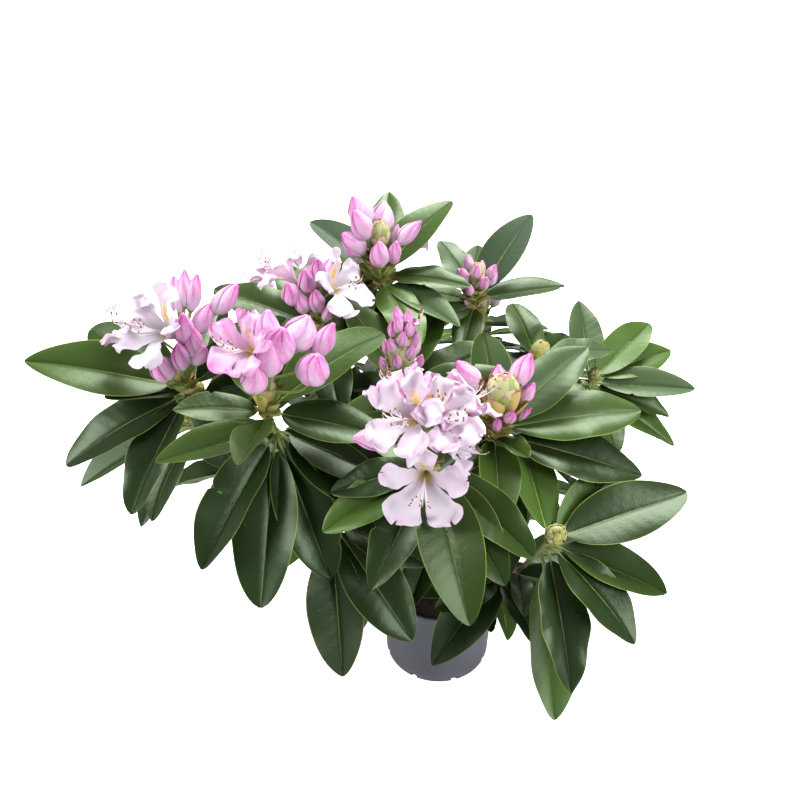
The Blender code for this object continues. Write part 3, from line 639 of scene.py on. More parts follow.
def shell(front, back):
    """A thin closed blade from two grids of points with one border, and each face's place in the grid."""
    rows, columns = front.shape[:2]
    points = list(front.reshape(-1, 3))
    top = np.arange(rows * columns).reshape(rows, columns)
    low = top.copy()
    inner = (rows - 2) * (columns - 2)
    low[1:-1, 1:-1] = rows * columns + np.arange(inner).reshape(rows - 2, columns - 2)
    points += list(back[1:-1, 1:-1].reshape(-1, 3))
    faces, places = [], []
    for grid, upper in ((top, True), (low, False)):
        for i in range(rows - 1):
            for j in range(columns - 1):
                face = [grid[i, j], grid[i + 1, j], grid[i + 1, j + 1], grid[i, j + 1]]
                faces.append(tuple(int(k) for k in (face if upper else reversed(face))))
                places.append((i, j, upper))
    return points, faces, places


def swept(profile, centre, direction, steps, shape=None):
    """A closed round body: (height, radius) down its profile; shape(angle, share) swells each point."""
    rings = []
    for i, (height, radius) in enumerate(profile):
        share = i / (len(profile) - 1)
        rings.append(ring_about(centre + direction * height, direction, [
            radius * (shape(2 * pi * k / steps, share) if shape else 1) for k in range(steps)]))
    return loft(rings)


# Node trees
def new_group(name, kind, inputs, outputs):
    """A node group with named inputs and outputs, and the nodes that bring them in and out."""
    group = bpy.data.node_groups.new(name, kind)
    for way, sockets in (("INPUT", inputs), ("OUTPUT", outputs)):
        for label, socket in sockets.items():
            group.interface.new_socket(name=label, in_out=way, socket_type="NodeSocket" + socket)
    return group, group.nodes.new("NodeGroupInput"), group.nodes.new("NodeGroupOutput")


def new_node(tree, kind, values=None, **settings):
    """A node with its settings, and values on its inputs by name or place."""
    node = tree.nodes.new(kind)
    for name, value in settings.items():
        setattr(node, name, value)
    for name, value in (values or {}).items():
        node.inputs[name].default_value = value
    return node


def wire(tree, *links):
    """Join outputs to inputs; each link is a node, its output, a node and its input, by name or place."""
    for source, output, target, socket in links:
        tree.links.new(source.outputs[output], target.inputs[socket])


# Materials
def surface_group():
    """Small bumps on the surface, from a network of fine veins or grain."""
    if "fine_surface" in bpy.data.node_groups:
        return bpy.data.node_groups["fine_surface"]
    group, start, end = new_group("fine_surface", "ShaderNodeTree",
                                  {"Position": "Vector", "Scale": "Float", "Depth": "Float"},
                                  {"Height": "Float"})
    cells = new_node(group, "ShaderNodeTexVoronoi", feature="DISTANCE_TO_EDGE")
    soft = new_node(group, "ShaderNodeTexNoise", {"Detail": 2})
    both = new_node(group, "ShaderNodeMath", operation="ADD")
    deep = new_node(group, "ShaderNodeMath", operation="MULTIPLY")
    wire(group, (start, "Position", cells, "Vector"), (start, "Scale", cells, "Scale"),
         (start, "Position", soft, "Vector"), (start, "Scale", soft, "Scale"), (cells, "Distance", both, 0),
         (soft, "Fac", both, 1), (both, 0, deep, 0), (start, "Depth", deep, 1), (deep, 0, end, "Height"))
    return group


def new_material(name, colour, roughness):
    made = bpy.data.materials.new(name)
    made.use_nodes = True
    made.diffuse_color = (*colour, 1)
    shader = made.node_tree.nodes["Principled BSDF"]
    shader.inputs["Base Color"].default_value = (*colour, 1)
    shader.inputs["Roughness"].default_value = roughness
    return made, made.node_tree, shader


def fine_surface(tree, shader, scale, depth):
    """Feed the shader's normal with the fine surface at this scale."""
    place = new_node(tree, "ShaderNodeTexCoord")
    fine = new_node(tree, "ShaderNodeGroup", {"Scale": scale, "Depth": 1.0}, node_tree=surface_group())
    bump = new_node(tree, "ShaderNodeBump", {"Strength": depth, "Distance": 0.3 * MM})
    wire(tree, (place, "Object", fine, "Position"), (fine, "Height", bump, "Height"),
         (bump, "Normal", shader, "Normal"))
    return place


def plain_finish(name):
    """A plain base colour of the plant, with the fine surface of its kind."""
    if name in bpy.data.materials:
        return bpy.data.materials[name]
    made, tree, shader = new_material(name, *FINISHES[name])
    kind = name.split("_")[0]
    if kind == "leaf":
        fine_surface(tree, shader, 260, 0.35)
        shader.inputs["Specular IOR Level"].default_value = 0.42
        shader.inputs["Specular Tint"].default_value = (0.80, 1.0, 0.70, 1)
    elif kind == "scale":
        fine_surface(tree, shader, 600, 0.25)
    elif kind in ("petal", "blotch", "throat"):
        shader.inputs["Subsurface Weight"].default_value = 0.3
        shader.inputs["Subsurface Radius"].default_value = (0.9, 0.5, 0.6)
        shader.inputs["Subsurface Scale"].default_value = 3 * MM
    return made


def patched_material(name, dark, light, roughness, scale, stretch=(1, 1, 1), bump=0.5, grain=4.0):
    """Two colours in patches, with a fine surface; stretch lengthens the patches."""
    made, tree, shader = new_material(name, light, roughness)
    place = fine_surface(tree, shader, scale * grain, bump)
    squeeze = new_node(tree, "ShaderNodeMapping", {"Scale": stretch})
    noise = new_node(tree, "ShaderNodeTexNoise", {"Scale": scale, "Detail": 6})
    ramp = new_node(tree, "ShaderNodeValToRGB")
    for stop, at, colour in zip(ramp.color_ramp.elements, (0.32, 0.70), (dark, light)):
        stop.position = at
        stop.color = (*colour, 1)
    wire(tree, (place, "Object", squeeze, "Vector"), (squeeze, "Vector", noise, "Vector"),
         (noise, "Fac", ramp, "Fac"), (ramp, "Color", shader, "Base Color"))
    return made


# Geometry nodes
def painted(tree, source, output, start, finish):
    """Realize what a node puts out and give it the finish on the group's input of that name."""
    real = new_node(tree, "GeometryNodeRealizeInstances")
    paint = new_node(tree, "GeometryNodeSetMaterial")
    wire(tree, (source, output, real, "Geometry"), (real, "Geometry", paint, "Geometry"),
         (start, finish, paint, "Material"))
    return paint


def tube(tree, line, ring):
    """A closed tube along a line, as thick as the line's points say."""
    read = new_node(tree, "GeometryNodeInputNamedAttribute", {"Name": "thickness"}, data_type="FLOAT")
    body = new_node(tree, "GeometryNodeCurveToMesh", {"Fill Caps": True})
    wire(tree, (line, "Curve", body, "Curve"), (read, "Attribute", body, "Scale"),
         (ring, "Curve", body, "Profile Curve"))
    return body


def grown(piece, tree, values):
    """Run a node tree on a piece, and keep its result as a plain mesh."""
    worker = piece.modifiers.new("grow", "NODES")
    worker.node_group = tree
    for item in tree.interface.items_tree:
        if item.in_out == "INPUT" and item.name in values:
            worker[item.identifier] = values[item.name]
    shaped = bpy.data.meshes.new_from_object(piece.evaluated_get(bpy.context.evaluated_depsgraph_get()))
    if not shaped.polygons:
        raise RuntimeError(f"{piece.name} grew no faces")
    piece.modifiers.clear()
    piece.data = shaped
    shaped.shade_smooth()
    return piece


def line_piece(name, lines):
    """A mesh of bare lines, each (points, radii), whose radii a node tree reads."""
    points, edges, radii = [], [], []
    for path, thick in lines:
        start = len(points)
        points.extend(tuple(p) for p in path)
        radii.extend(thick)
        edges.extend((start + i, start + i + 1) for i in range(len(path) - 1))
    mesh = bpy.data.meshes.new(name)
    mesh.from_pydata(points, edges, [])
    mesh.attributes.new("thickness", "FLOAT", "POINT").data.foreach_set("value", radii)
    return placed(name, mesh)


def limb_tree():
    """Round limbs along lines, with bark in relief."""
    tree, start, end = new_group("limb_relief", "GeometryNodeTree", {
        "Geometry": "Geometry", "Step": "Float", "Sides": "Int", "Relief": "Float", "Grain": "Float",
        "Finish": "Material"}, {"Geometry": "Geometry"})
    line = new_node(tree, "GeometryNodeMeshToCurve")
    fine = new_node(tree, "GeometryNodeResampleCurve", mode="LENGTH")
    ring = new_node(tree, "GeometryNodeCurvePrimitiveCircle", {"Radius": 1.0})
    body = tube(tree, fine, ring)
    place = new_node(tree, "GeometryNodeInputPosition")
    squeeze = new_node(tree, "ShaderNodeVectorMath", {1: (1, 1, 0.35)}, operation="MULTIPLY")
    rough = new_node(tree, "ShaderNodeTexNoise", {"Detail": 3})
    middle = new_node(tree, "ShaderNodeMath", {1: 0.55}, operation="SUBTRACT")
    amount = new_node(tree, "ShaderNodeMath", operation="MULTIPLY")
    facing = new_node(tree, "GeometryNodeInputNormal")
    push = new_node(tree, "ShaderNodeVectorMath", operation="SCALE")
    move = new_node(tree, "GeometryNodeSetPosition")
    wire(tree, (start, "Geometry", line, "Mesh"), (line, "Curve", fine, "Curve"),
         (start, "Step", fine, "Length"), (start, "Sides", ring, "Resolution"),
         (place, "Position", squeeze, 0), (squeeze, "Vector", rough, "Vector"),
         (start, "Grain", rough, "Scale"), (rough, "Fac", middle, 0), (middle, 0, amount, 0),
         (start, "Relief", amount, 1), (facing, "Normal", push, 0), (amount, 0, push, "Scale"),
         (body, "Mesh", move, "Geometry"), (push, "Vector", move, "Offset"))
    wire(tree, (painted(tree, move, "Geometry", start, "Finish"), "Geometry", end, "Geometry"))
    return tree


def stamen_tree():
    """Thin threads along lines, with a small oval body at the end of each."""
    tree, start, end = new_group("stamens", "GeometryNodeTree", {
        "Geometry": "Geometry", "Anther": "Float", "Thread": "Material", "Tip": "Material"},
        {"Geometry": "Geometry"})
    line = new_node(tree, "GeometryNodeMeshToCurve")
    ring = new_node(tree, "GeometryNodeCurvePrimitiveCircle", {"Radius": 1.0, "Resolution": 4})
    body = tube(tree, line, ring)
    ends = new_node(tree, "GeometryNodeCurveEndpointSelection", {"Start Size": 0, "End Size": 1})
    along = new_node(tree, "GeometryNodeInputTangent")
    turn = new_node(tree, "FunctionNodeAlignRotationToVector", axis="Z")
    ball = new_node(tree, "GeometryNodeMeshIcoSphere", {"Radius": 1.0, "Subdivisions": 2})
    longer = new_node(tree, "ShaderNodeMath", {1: 1.9}, operation="MULTIPLY")
    oval = new_node(tree, "ShaderNodeCombineXYZ")
    put = new_node(tree, "GeometryNodeInstanceOnPoints")
    both = new_node(tree, "GeometryNodeJoinGeometry")
    wire(tree, (start, "Geometry", line, "Mesh"), (start, "Anther", oval, "X"), (start, "Anther", oval, "Y"),
         (start, "Anther", longer, 0), (longer, 0, oval, "Z"), (line, "Curve", put, "Points"),
         (ends, "Selection", put, "Selection"), (ball, "Mesh", put, "Instance"),
         (along, "Tangent", turn, "Vector"), (turn, "Rotation", put, "Rotation"),
         (oval, "Vector", put, "Scale"))
    for source, output, finish in ((body, "Mesh", "Thread"), (put, "Instances", "Tip")):
        wire(tree, (painted(tree, source, output, start, finish), "Geometry", both, "Geometry"))
    wire(tree, (both, "Geometry", end, "Geometry"))
    return tree


def crumb_tree():
    """Crumbs of all sizes strewn over a surface, joined with it."""
    tree, start, end = new_group("crumbs", "GeometryNodeTree", {
        "Geometry": "Geometry", "Density": "Float", "Smallest": "Float", "Largest": "Float", "Seed": "Int",
        "Finish": "Material"}, {"Geometry": "Geometry"})
    strew = new_node(tree, "GeometryNodeDistributePointsOnFaces")
    crumb = new_node(tree, "GeometryNodeMeshIcoSphere", {"Radius": 1.0, "Subdivisions": 1})
    size = new_node(tree, "FunctionNodeRandomValue", data_type="FLOAT")
    turn = new_node(tree, "FunctionNodeRandomValue", {"Max": (2 * pi,) * 3}, data_type="FLOAT_VECTOR")
    squash = new_node(tree, "FunctionNodeRandomValue", {"Min": (0.5, 0.35, 0.3), "Max": (1.6, 1.0, 0.7)},
                      data_type="FLOAT_VECTOR")
    scale = new_node(tree, "ShaderNodeVectorMath", operation="SCALE")
    put = new_node(tree, "GeometryNodeInstanceOnPoints")
    both = new_node(tree, "GeometryNodeJoinGeometry")
    for node in (strew, size, turn, squash):
        wire(tree, (start, "Seed", node, "Seed"))
    # A random value has its plain numbers on inputs 2 and 3 and on output 1
    wire(tree, (start, "Geometry", strew, "Mesh"), (start, "Density", strew, "Density"),
         (start, "Smallest", size, 2), (start, "Largest", size, 3), (squash, 0, scale, 0),
         (size, 1, scale, "Scale"), (strew, "Points", put, "Points"), (crumb, "Mesh", put, "Instance"),
         (turn, 0, put, "Rotation"), (scale, "Vector", put, "Scale"), (start, "Geometry", both, "Geometry"),
         (put, "Instances", both, "Geometry"))
    wire(tree, (painted(tree, both, "Geometry", start, "Finish"), "Geometry", end, "Geometry"))
    return tree


# Pot and compost
POT_TAPER = 4.5 * MM
POT_WALL = 2.2 * MM
LIP_WIDTH = 1.4 * MM
LIP_DEPTH = 10 * MM
COMPOST_FOOT = 11 * MM


def build_pot(values):
    """The pot as one fine turned body, its wall pushed in at the drain notches."""
    steps = values.steps
    lip_foot = POT_HEIGHT - values.lip_depth
    foot = RIM_RADIUS - POT_TAPER
    inner_rim = RIM_RADIUS - values.lip_width - values.wall
    inner_foot = foot - values.wall
    corner, floor, notch_height, notch_depth, first_notch = 7 * MM, 4 * MM, 6 * MM, 3 * MM, 0.37
    outside = [(RIM_RADIUS - 0.7 * MM, POT_HEIGHT), (RIM_RADIUS, POT_HEIGHT - 0.8 * MM),
               (RIM_RADIUS, lip_foot + 1.2 * MM), (RIM_RADIUS - 0.4 * MM, lip_foot + 0.4 * MM),
               (RIM_RADIUS - values.lip_width, lip_foot)]
    for share in (0.02, 0.2, 0.4, 0.6, 0.8, 0.9):
        outside.append((RIM_RADIUS - values.lip_width + (foot - RIM_RADIUS + values.lip_width) * share,
                        lip_foot + (notch_height - lip_foot) * share))
    outside += [(foot + 0.15 * MM, notch_height + 0.3 * MM), (foot, notch_height), (foot, 2.2 * MM),
                (foot - 0.3 * MM, 0.7 * MM), (foot - 1.2 * MM, 0)]
    inside = [(foot * share, 0) for share in (0.9, 0.6, 0.3)]
    walls = [(inner_foot * share, floor) for share in (0.3, 0.6, 0.85)]
    walls += [(inner_foot - corner * 0.3, floor + corner * 0.3), (inner_foot, floor + corner),
              (inner_rim, lip_foot), (inner_rim + 1 * MM, POT_HEIGHT - 0.6 * MM),
              (inner_rim + 1.5 * MM, POT_HEIGHT)]
    points, faces = [], []
    profile = outside + inside + [(0, 0)] + [(0, floor)] + walls
    rings = []
    for radius, z in profile:
        if radius == 0:
            rings.append([len(points)])
            points.append(Vector((0, 0, z)))
            continue
        ring = []
        for k in range(steps):
            angle = 2 * pi * k / steps
            turn = (angle / (2 * pi) * values.notches - first_notch) % 1.0
            near = min(turn, 1 - turn) * 2 * pi / values.notches * foot
            cut = near < values.notch_width / 2 and z < notch_height - 0.1 * MM and radius > foot - 2 * MM
            wide = radius - (notch_depth if cut else 0)
            ring.append(len(points))
            points.append(Vector((cos(angle) * wide, sin(angle) * wide, z)))
        rings.append(ring)
    for ring, after in zip(rings, rings[1:] + rings[:1]):
        if len(ring) == 1 and len(after) == 1:
            continue
        for k in range(steps):
            corners = [ring[k % len(ring)], after[k % len(after)], after[(k + 1) % len(after)],
                       ring[(k + 1) % len(ring)]]
            faces.append(tuple(dict.fromkeys(corners)))
    mesh = bpy.data.meshes.new("pot_shell")
    mesh.from_pydata([tuple(p) for p in points], [], faces)
    work = bmesh.new()
    work.from_mesh(mesh)
    bmesh.ops.recalc_face_normals(work, faces=work.faces)
    work.to_mesh(mesh)
    work.free()
    mesh.shade_smooth()
    mesh.set_sharp_from_angle(angle=radians(35))
    mesh.materials.append(patched_material("pot_plastic", values.dark, values.colour, 0.42, 14,
                                           stretch=(1, 1, 0.4), bump=0.12, grain=90))
    return placed("pot_shell", mesh)


def build_compost(values):
    """Compost, crumbled on top, inside the pot."""
    inner_foot = RIM_RADIUS - POT_TAPER - POT_WALL
    inner_rim = RIM_RADIUS - LIP_WIDTH - POT_WALL
    share = (SOIL_LEVEL - COMPOST_FOOT) / (POT_HEIGHT - LIP_DEPTH - COMPOST_FOOT)
    edge = inner_foot + (inner_rim - inner_foot) * share - 0.5 * MM
    circles, steps, level_radius = 18, 96, 24 * MM
    random.seed(11)
    rings = [[Vector((0, 0, SOIL_LEVEL - 1 * MM))]]
    for k in range(1, circles + 1):
        radius = edge * k / circles
        top = SOIL_LEVEL - 0.6 * MM - 3 * MM * max(0.0, (radius - level_radius) / (edge - level_radius))
        rings.append([toward(360 * i / steps, 0) * radius + UP * (top + random.uniform(-0.6, 0.5) * MM)
                      for i in range(steps)])
    # The plug narrows to its foot as the pot does
    drawn_in = inner_foot / edge * 0.99
    rings.append([Vector((p.x * drawn_in, p.y * drawn_in, COMPOST_FOOT)) for p in rings[-1]])
    points, faces = loft(rings[::-1])
    mesh = bpy.data.meshes.new("compost_top")
    mesh.from_pydata([tuple(p) for p in points], [], faces)
    piece = placed("compost_top", mesh)
    finish = patched_material("peat", values.dark, values.colour, 0.95, 160, bump=0.9, grain=5)
    mesh.materials.append(finish)
    grown(piece, crumb_tree(), {"Density": values.crumbs, "Smallest": 0.7 * MM, "Largest": 2.2 * MM,
                                "Seed": 5, "Finish": finish})
    # No crumb stands out past the compost's edge or more than 2 mm above its level
    for vert in piece.data.vertices:
        inward = min(1.0, edge / max(edge, sqrt(vert.co.x ** 2 + vert.co.y ** 2)))
        vert.co = Vector((vert.co.x * inward, vert.co.y * inward, min(vert.co.z, SOIL_LEVEL + 2 * MM)))
    return piece


# Trunk, boughs and shoots
LIMB_STEP = 2.2 * MM
TRUNK_STEPS = 40
SHOOT_STEPS = 24
# The stem of a truss above its shoot's tip: heights and radii in millimetres
TRUSS_STEM = ((-4, 2.9), (8, 2.9), (20, 2.5), (34, 1.6))


def smooth_line(points, radii, steps):
    """More points on a smooth line that passes through the given ones."""
    ends = [points[0] * 2 - points[1]] + list(points) + [points[-1] * 2 - points[-2]]
    path, thick = [], []
    for i in range(len(points) - 1):
        a, b, c, d = ends[i:i + 4]
        for k in range(steps):
            t = k / steps
            path.append((b * 2 + (c - a) * t + (a * 2 - b * 5 + c * 4 - d) * t * t
                         + (b * 3 - a - c * 3 + d) * t ** 3) / 2)
            thick.append(radii[i] + (radii[i + 1] - radii[i]) * t)
    return path + [points[-1]], thick + [radii[-1]]


def build_limbs(values):
    """The trunk with its root flare and every bough, with bark in relief."""
    length = (TRUNK_TOP - trunk_foot).length
    shares = [i / TRUNK_STEPS for i in range(TRUNK_STEPS + 1)]
    lines = [([trunk_at(s) for s in shares], [
        TRUNK_BASE_RADIUS + (TRUNK_TOP_RADIUS - TRUNK_BASE_RADIUS) * s
        + ROOT_FLARE * max(0.0, 1 - s * length / ROOT_FLARE_HEIGHT) ** 2 for s in shares])]
    for name, (path, radii) in bough_lines().items():
        path, radii = smooth_line(path, radii, 5)
        radii = [r * (1 + 0.05 * sin(i * 1.3)) for i, r in enumerate(radii)]
        lines.append((path + [SPRAYS[name].foot + SPRAYS[name].axis * GAP], radii + radii[-1:]))
    piece = line_piece("limbs", lines)
    bark = patched_material("bark", values.dark, values.colour, 0.85, 120, stretch=(1, 1, 0.35), bump=0.8,
                            grain=5)
    return grown(piece, limb_tree(), {"Step": LIMB_STEP, "Sides": 14, "Relief": values.relief, "Grain": 260.0,
                                      "Finish": bark})


def build_shoots(values):
    """The green shoots that carry the leaves, swollen at even steps, more towards the tip."""
    lines = []
    for spray in SPRAYS.values():
        foot = spray.foot + spray.axis * GAP
        head = spray.tip + spray.axis * 6 * MM
        places = [i / SHOOT_STEPS for i in range(SHOOT_STEPS + 1)]
        lines.append(([foot.lerp(head, t) for t in places],
                      [SHOOT_RADIUS * (1.05 + 0.12 * sin(SHOOT_STEPS * t * 1.9) ** 2 * t) for t in places]))
    for name, truss in TRUSSES.items():
        lines.append(([SPRAYS[name].tip + truss.axis * height * MM for height, _ in TRUSS_STEM],
                      [radius * MM for _, radius in TRUSS_STEM]))
    piece = line_piece("shoots", lines)
    skin = patched_material("green_bark", values.shoot_dark, values.shoot, 0.6, 90, stretch=(1, 1, 0.4),
                            bump=0.5, grain=6)
    return grown(piece, limb_tree(), {"Step": LIMB_STEP, "Sides": 12, "Relief": 0.5 * MM, "Grain": 320.0,
                                      "Finish": skin})


# Leaves
BLADE_ROWS = 40
RIB = 0.025
BLADE_COLUMNS = (-1, -0.97, -0.74, -0.48, -0.22, -RIB, 0, RIB, 0.22, 0.48, 0.74, 0.97, 1)
BLADE_START = PETIOLE * 0.8
VEINS = 11
STALK_SHARES = (0.0, 0.05, 0.10, 0.15, 0.2, 0.28, 0.38, 0.5, 0.62, 0.74, 0.86, 0.95)
# Leaf tones from painted shade to a painted sky sheen, dealt by how high and how far right a leaf stands
SHADE_TO_SHEEN_TONES = ("leaf_deep", "leaf_dark", "leaf_mid", "leaf_grey", "leaf_blue")


def leaf_blade(joined, root, bearing, rise, length, axis, tone, rows, dice, values):
    """One leaf: an arched blade folded along its rib, with veins in relief, on its stalk."""
    along, up, side = (np.array(v) for v in leaf_frame(bearing, rise, axis))
    root = np.array(root)
    bend = radians(ARCH * dice.uniform(0.7, 1.4))
    t = np.linspace(BLADE_START, 1.0, rows + 1)[:, None]
    v = np.array(BLADE_COLUMNS, float)[None, :]
    u = np.clip((t - BLADE_START) / (1 - BLADE_START), 0, 1)
    # The outline: where it is widest, and how blunt its tip is
    middle, blunt = dice.uniform(0.84, 1.0), dice.uniform(0.50, 0.72)
    outline = np.sin(pi * np.clip(u, 0.004, 0.998) ** middle) ** blunt * (1.10 - 0.1 * u)
    wide = np.maximum(length * WIDTH / 2 * outline, length * 0.008)
    a = bend / 2 - bend * t

    def line(at):
        arc = along * (sin(bend / 2) - np.sin(at)) + up * (np.cos(at) - cos(bend / 2))
        return root + length * arc / (2 * sin(bend / 2))

    # The blade folds up along its rib and twists towards its tip
    look = up * np.cos(a) - along * np.sin(a)
    fold = radians(dice.uniform(values.fold_least, values.fold_most))
    twist = radians(dice.uniform(-14, 14)) * (t - 0.3)
    lean_side = side * np.cos(twist) + look * np.sin(twist)
    lean_look = look * np.cos(twist) - side * np.sin(twist)
    # Its sides droop at the edge and wave, its side veins stand up and its rib is sunk
    wave, turns, phase = dice.uniform(0.4, 2.4) * MM, dice.uniform(1.2, 3.4), dice.uniform(0, 2 * pi)
    droop = dice.uniform(0.0, 0.22)
    size = np.abs(v)
    level = wide * ((size - 0.5) * sin(fold) - droop * size ** 3)
    fade = np.sin(pi * u) ** 0.5
    level = level + wave * np.sin(2 * pi * (turns * t + 0.25 * np.sign(v)) + phase) * size ** 2 * fade
    veins = np.cos(2 * pi * VEINS * (u - 0.13 * size)) * size ** 0.3 * (1 - size ** 4) * fade
    level = level + values.vein_relief * veins - 0.5 * MM * (size < RIB) * np.sin(pi * u) ** 0.3
    # One leaf in five has a bite out of one side
    bitten = dice.uniform(0.1, 0.28) * (dice.random() < 0.2)
    bite = bitten * np.exp(-((t - dice.uniform(0.3, 0.97)) / 0.016) ** 2) * (v * dice.choice((-1, 1)) > 0.5)
    front = line(a)[:, None, :] + lean_side[:, None, :] * (wide * v * (1 - bite) * cos(fold))[..., None]
    front = front + lean_look[:, None, :] * level[..., None]
    back = front - lean_look[:, None, :] * values.thickness
    points, faces, places = shell(front, back)
    last, kinds = len(BLADE_COLUMNS) - 2, []
    for i, j, upper in places:
        # The outermost faces take the margin colour: partly the leaf's own rim, partly painted light shining
        # through it
        if j in (0, last):
            kinds.append("leaf_margin" if i > 1 else "leaf_rib")
        elif not upper:
            kinds.append("leaf_under")
        else:
            kinds.append("leaf_rib" if BLADE_COLUMNS[j] in (-RIB, 0) and i < rows - 3 else tone)
    joined.add(points, faces, kinds)
    # The stalk runs on under the blade as its midrib
    path, radii = [], []
    for share in STALK_SHARES:
        at = bend / 2 - bend * share
        centre = line(np.array([[at]]))[0]
        facing = up * cos(at) - along * sin(at)
        row = min(rows, max(0, (share - BLADE_START) / (1 - BLADE_START) * rows))
        half = float(wide[int(row), 0]) if share > BLADE_START else 0.0
        radius = length * 0.0105 * (1 - share) ** 0.9 + 0.25 * MM
        sink = half * 0.5 * sin(fold) + (0.5 * MM + radius * 0.6 if half else 0)
        path.append(Vector(centre - facing * sink))
        radii.append(radius)
    joined.add(*rod(path, radii, 6), "stalk")


def build_leaves(values):
    """Every leaf of the plant, shared out over the pieces by spray."""
    pieces = [Joined(f"leaves_{k + 1}") for k in range(values.pieces)]
    owners = [[] for _ in pieces]
    names = list(SPRAYS)
    share = ceil(len(names) / len(pieces))
    dice = random.Random(23)
    dealt, space = dealt_leaves()
    leaves = [(*leaf, SPRAYS[leaf[0]].axis) for leaf in dealt
              if (leaf[0], round(leaf[2] % 360)) not in LEFT_OUT]
    for name, level, bearing, rise, length in IN_THEIR_STEAD:
        spray = SPRAYS[name]
        leaves.append((name, spray.tip - spray.axis * level * MM, bearing, rise, length * MM, spray.axis))
    for name, root, bearing, rise, length, axis in leaves + inner_leaves(space):
        k = names.index(name) // share
        height = root.z + length * 0.5 * sin(radians(rise))
        # Painted light: the higher a leaf stands and the further to the right, the lighter its tone, from
        # painted shade low down to a painted sky sheen high up; steeply hanging leaves get painted shade
        painted_lightness = (height - 0.30) / 0.25 + dice.uniform(-0.35, 0.35)
        painted_lightness += 1.6 * root.x - (0.3 if rise < -30 else 0)
        rows = BLADE_ROWS
        # Leaves along the boughs, inside the crown, take a darker tone as painted shade, and fewer rows
        if axis is not SPRAYS[name].axis:
            painted_lightness, rows = painted_lightness - 0.35, BLADE_ROWS // 2
        tone = SHADE_TO_SHEEN_TONES[max(0, min(4, int(painted_lightness * 4)))]
        # Fresh green leaves are few, but for the low right side
        if dice.random() < (0.25 if root.x > 0.08 and root.z < 0.42 else 0.05):
            tone = "leaf_fresh"
        leaf_blade(pieces[k], root, bearing, rise, length, axis, tone, rows, dice, values)
        owners[k].append(name)
    return [(piece.made(), sorted(set(owned))) for piece, owned in zip(pieces, owners) if piece.faces]


# Buds and their scales
def bud_scale(joined, base, outward, along, length, width, kind, tip_kind=None, cup=0.35, spread=0.0):
    """One spoon-shaped scale: it starts at the base, runs along, and bends outward by its spread."""
    outward, along = np.array(outward.normalized()), np.array(along.normalized())
    side = np.cross(along, outward)
    side /= np.linalg.norm(side)
    s = np.linspace(0, 1, 9)[:, None]
    v = np.linspace(-1, 1, 7)[None, :]
    half = width * np.sin(pi * (0.12 + 0.86 * s) ** 1.15) ** 0.75
    rows = np.array(base) + along * length * s * (1 - 0.3 * spread * s) + outward * (length * spread * s ** 2)
    front = rows[:, None, :] + side * (half * v)[..., None] - outward * (cup * half * v ** 2)[..., None]
    back = front - outward * (0.5 * MM)
    points, faces, places = shell(front, back)
    joined.add(points, faces, [tip_kind if tip_kind and i > 5 else kind for i, _, _ in places])


def egg(z):
    """Girth of an egg-shaped bud at a share of its height, from 0 to 1."""
    return sin(pi * (0.12 + 0.85 * z) ** 1.1) ** 0.8 if z < 1 else 0.05


SCALE_ROWS = 8
SCALE_COLUMNS = (-1, -0.9, -0.5, 0, 0.5, 0.9, 1)


def scaly_bud(joined, root, axis, radius, height, long, kinds, edges, dice):
    """An egg-shaped bud with scales dealt round it by the golden turn, the higher ones over the lower."""
    core = [(height * i / 10, radius * 0.93 * egg(i / 10)) for i in range(11)]
    joined.add(*swept(core, root, axis, 16), kinds[0])
    u, v = across(axis)
    count = max(16, round(height / (1.3 * MM)))
    for k in range(count):
        # Each scale runs from its own height up, and a later one starts higher
        low = 0.02 + 0.76 * k / count
        top = min(1.0, low + long * dice.uniform(0.9, 1.1))
        middle = radians(GOLDEN * k) + dice.uniform(-0.1, 0.1)
        wide = dice.uniform(0.46, 0.60) * radius * (1 - 0.35 * low)
        front, back = np.zeros((2, SCALE_ROWS, len(SCALE_COLUMNS), 3))
        for i in range(SCALE_ROWS):
            along = (i / (SCALE_ROWS - 1)) ** 0.7
            z = low + (top - low) * along
            girth = max(radius * egg(z), 0.6 * MM)
            half = wide * sin(pi * (0.2 + 0.78 * along)) ** 0.6
            for j, over in enumerate(SCALE_COLUMNS):
                angle = middle + over * min(half / girth, 1.4)
                out = girth + (0.5 + 1.1 * along - 0.7 * over ** 2) * MM
                spoke = u * cos(angle) + v * sin(angle)
                place = root + axis * (height * z + 0.6 * MM * along * (1 - over ** 2))
                front[i, j] = place + spoke * out
                back[i, j] = place + spoke * (out - 0.6 * MM)
        points, faces, places = shell(front, back)
        kind, edge = dice.choice(kinds), dice.choice(edges)
        last_row, last_column = SCALE_ROWS - 2, len(SCALE_COLUMNS) - 2
        joined.add(points, faces, [
            edge if i == last_row or j in (0, last_column) else kind for i, j, _ in places])


def bracts(joined, root, axis, count, size, kinds, dice, radius=2.2 * MM, least=18):
    """Cupped spoon-shaped scales round the foot of a truss or bud, more upright towards its tip."""
    u, v = across(axis)
    for k in range(count):
        # The last ones dealt stand highest and most upright
        share = k / count
        angle = radians(GOLDEN * k + dice.uniform(-12, 12))
        out = u * cos(angle) + v * sin(angle)
        tilt = radians(least + 48 * share + dice.uniform(-8, 8))
        length = size * dice.uniform(0.8, 1.15) * (1 - 0.25 * abs(share - 0.4))
        bud_scale(joined, root + axis * size * (0.7 * share - 0.4) + out * radius,
                  out * sin(tilt) - axis * cos(tilt), out * cos(tilt) + axis * sin(tilt), length,
                  length * dice.uniform(0.30, 0.40), dice.choice(kinds),
                  dice.choice(("scale_brown", "scale_tan", None, None)), cup=0.8,
                  spread=dice.uniform(-0.45, -0.1))


BRACT_KINDS = {
    "left": ("scale_olive", "scale_gold", "scale_green"),
    "right": ("scale_gold", "scale_tan", "scale_olive"),
    "top": ("scale_yellow", "scale_gold", "scale_green"),
    "front": ("scale_gold", "scale_green", "scale_olive"),
    "centre": ("scale_yellow", "scale_gold", "scale_olive"),
}


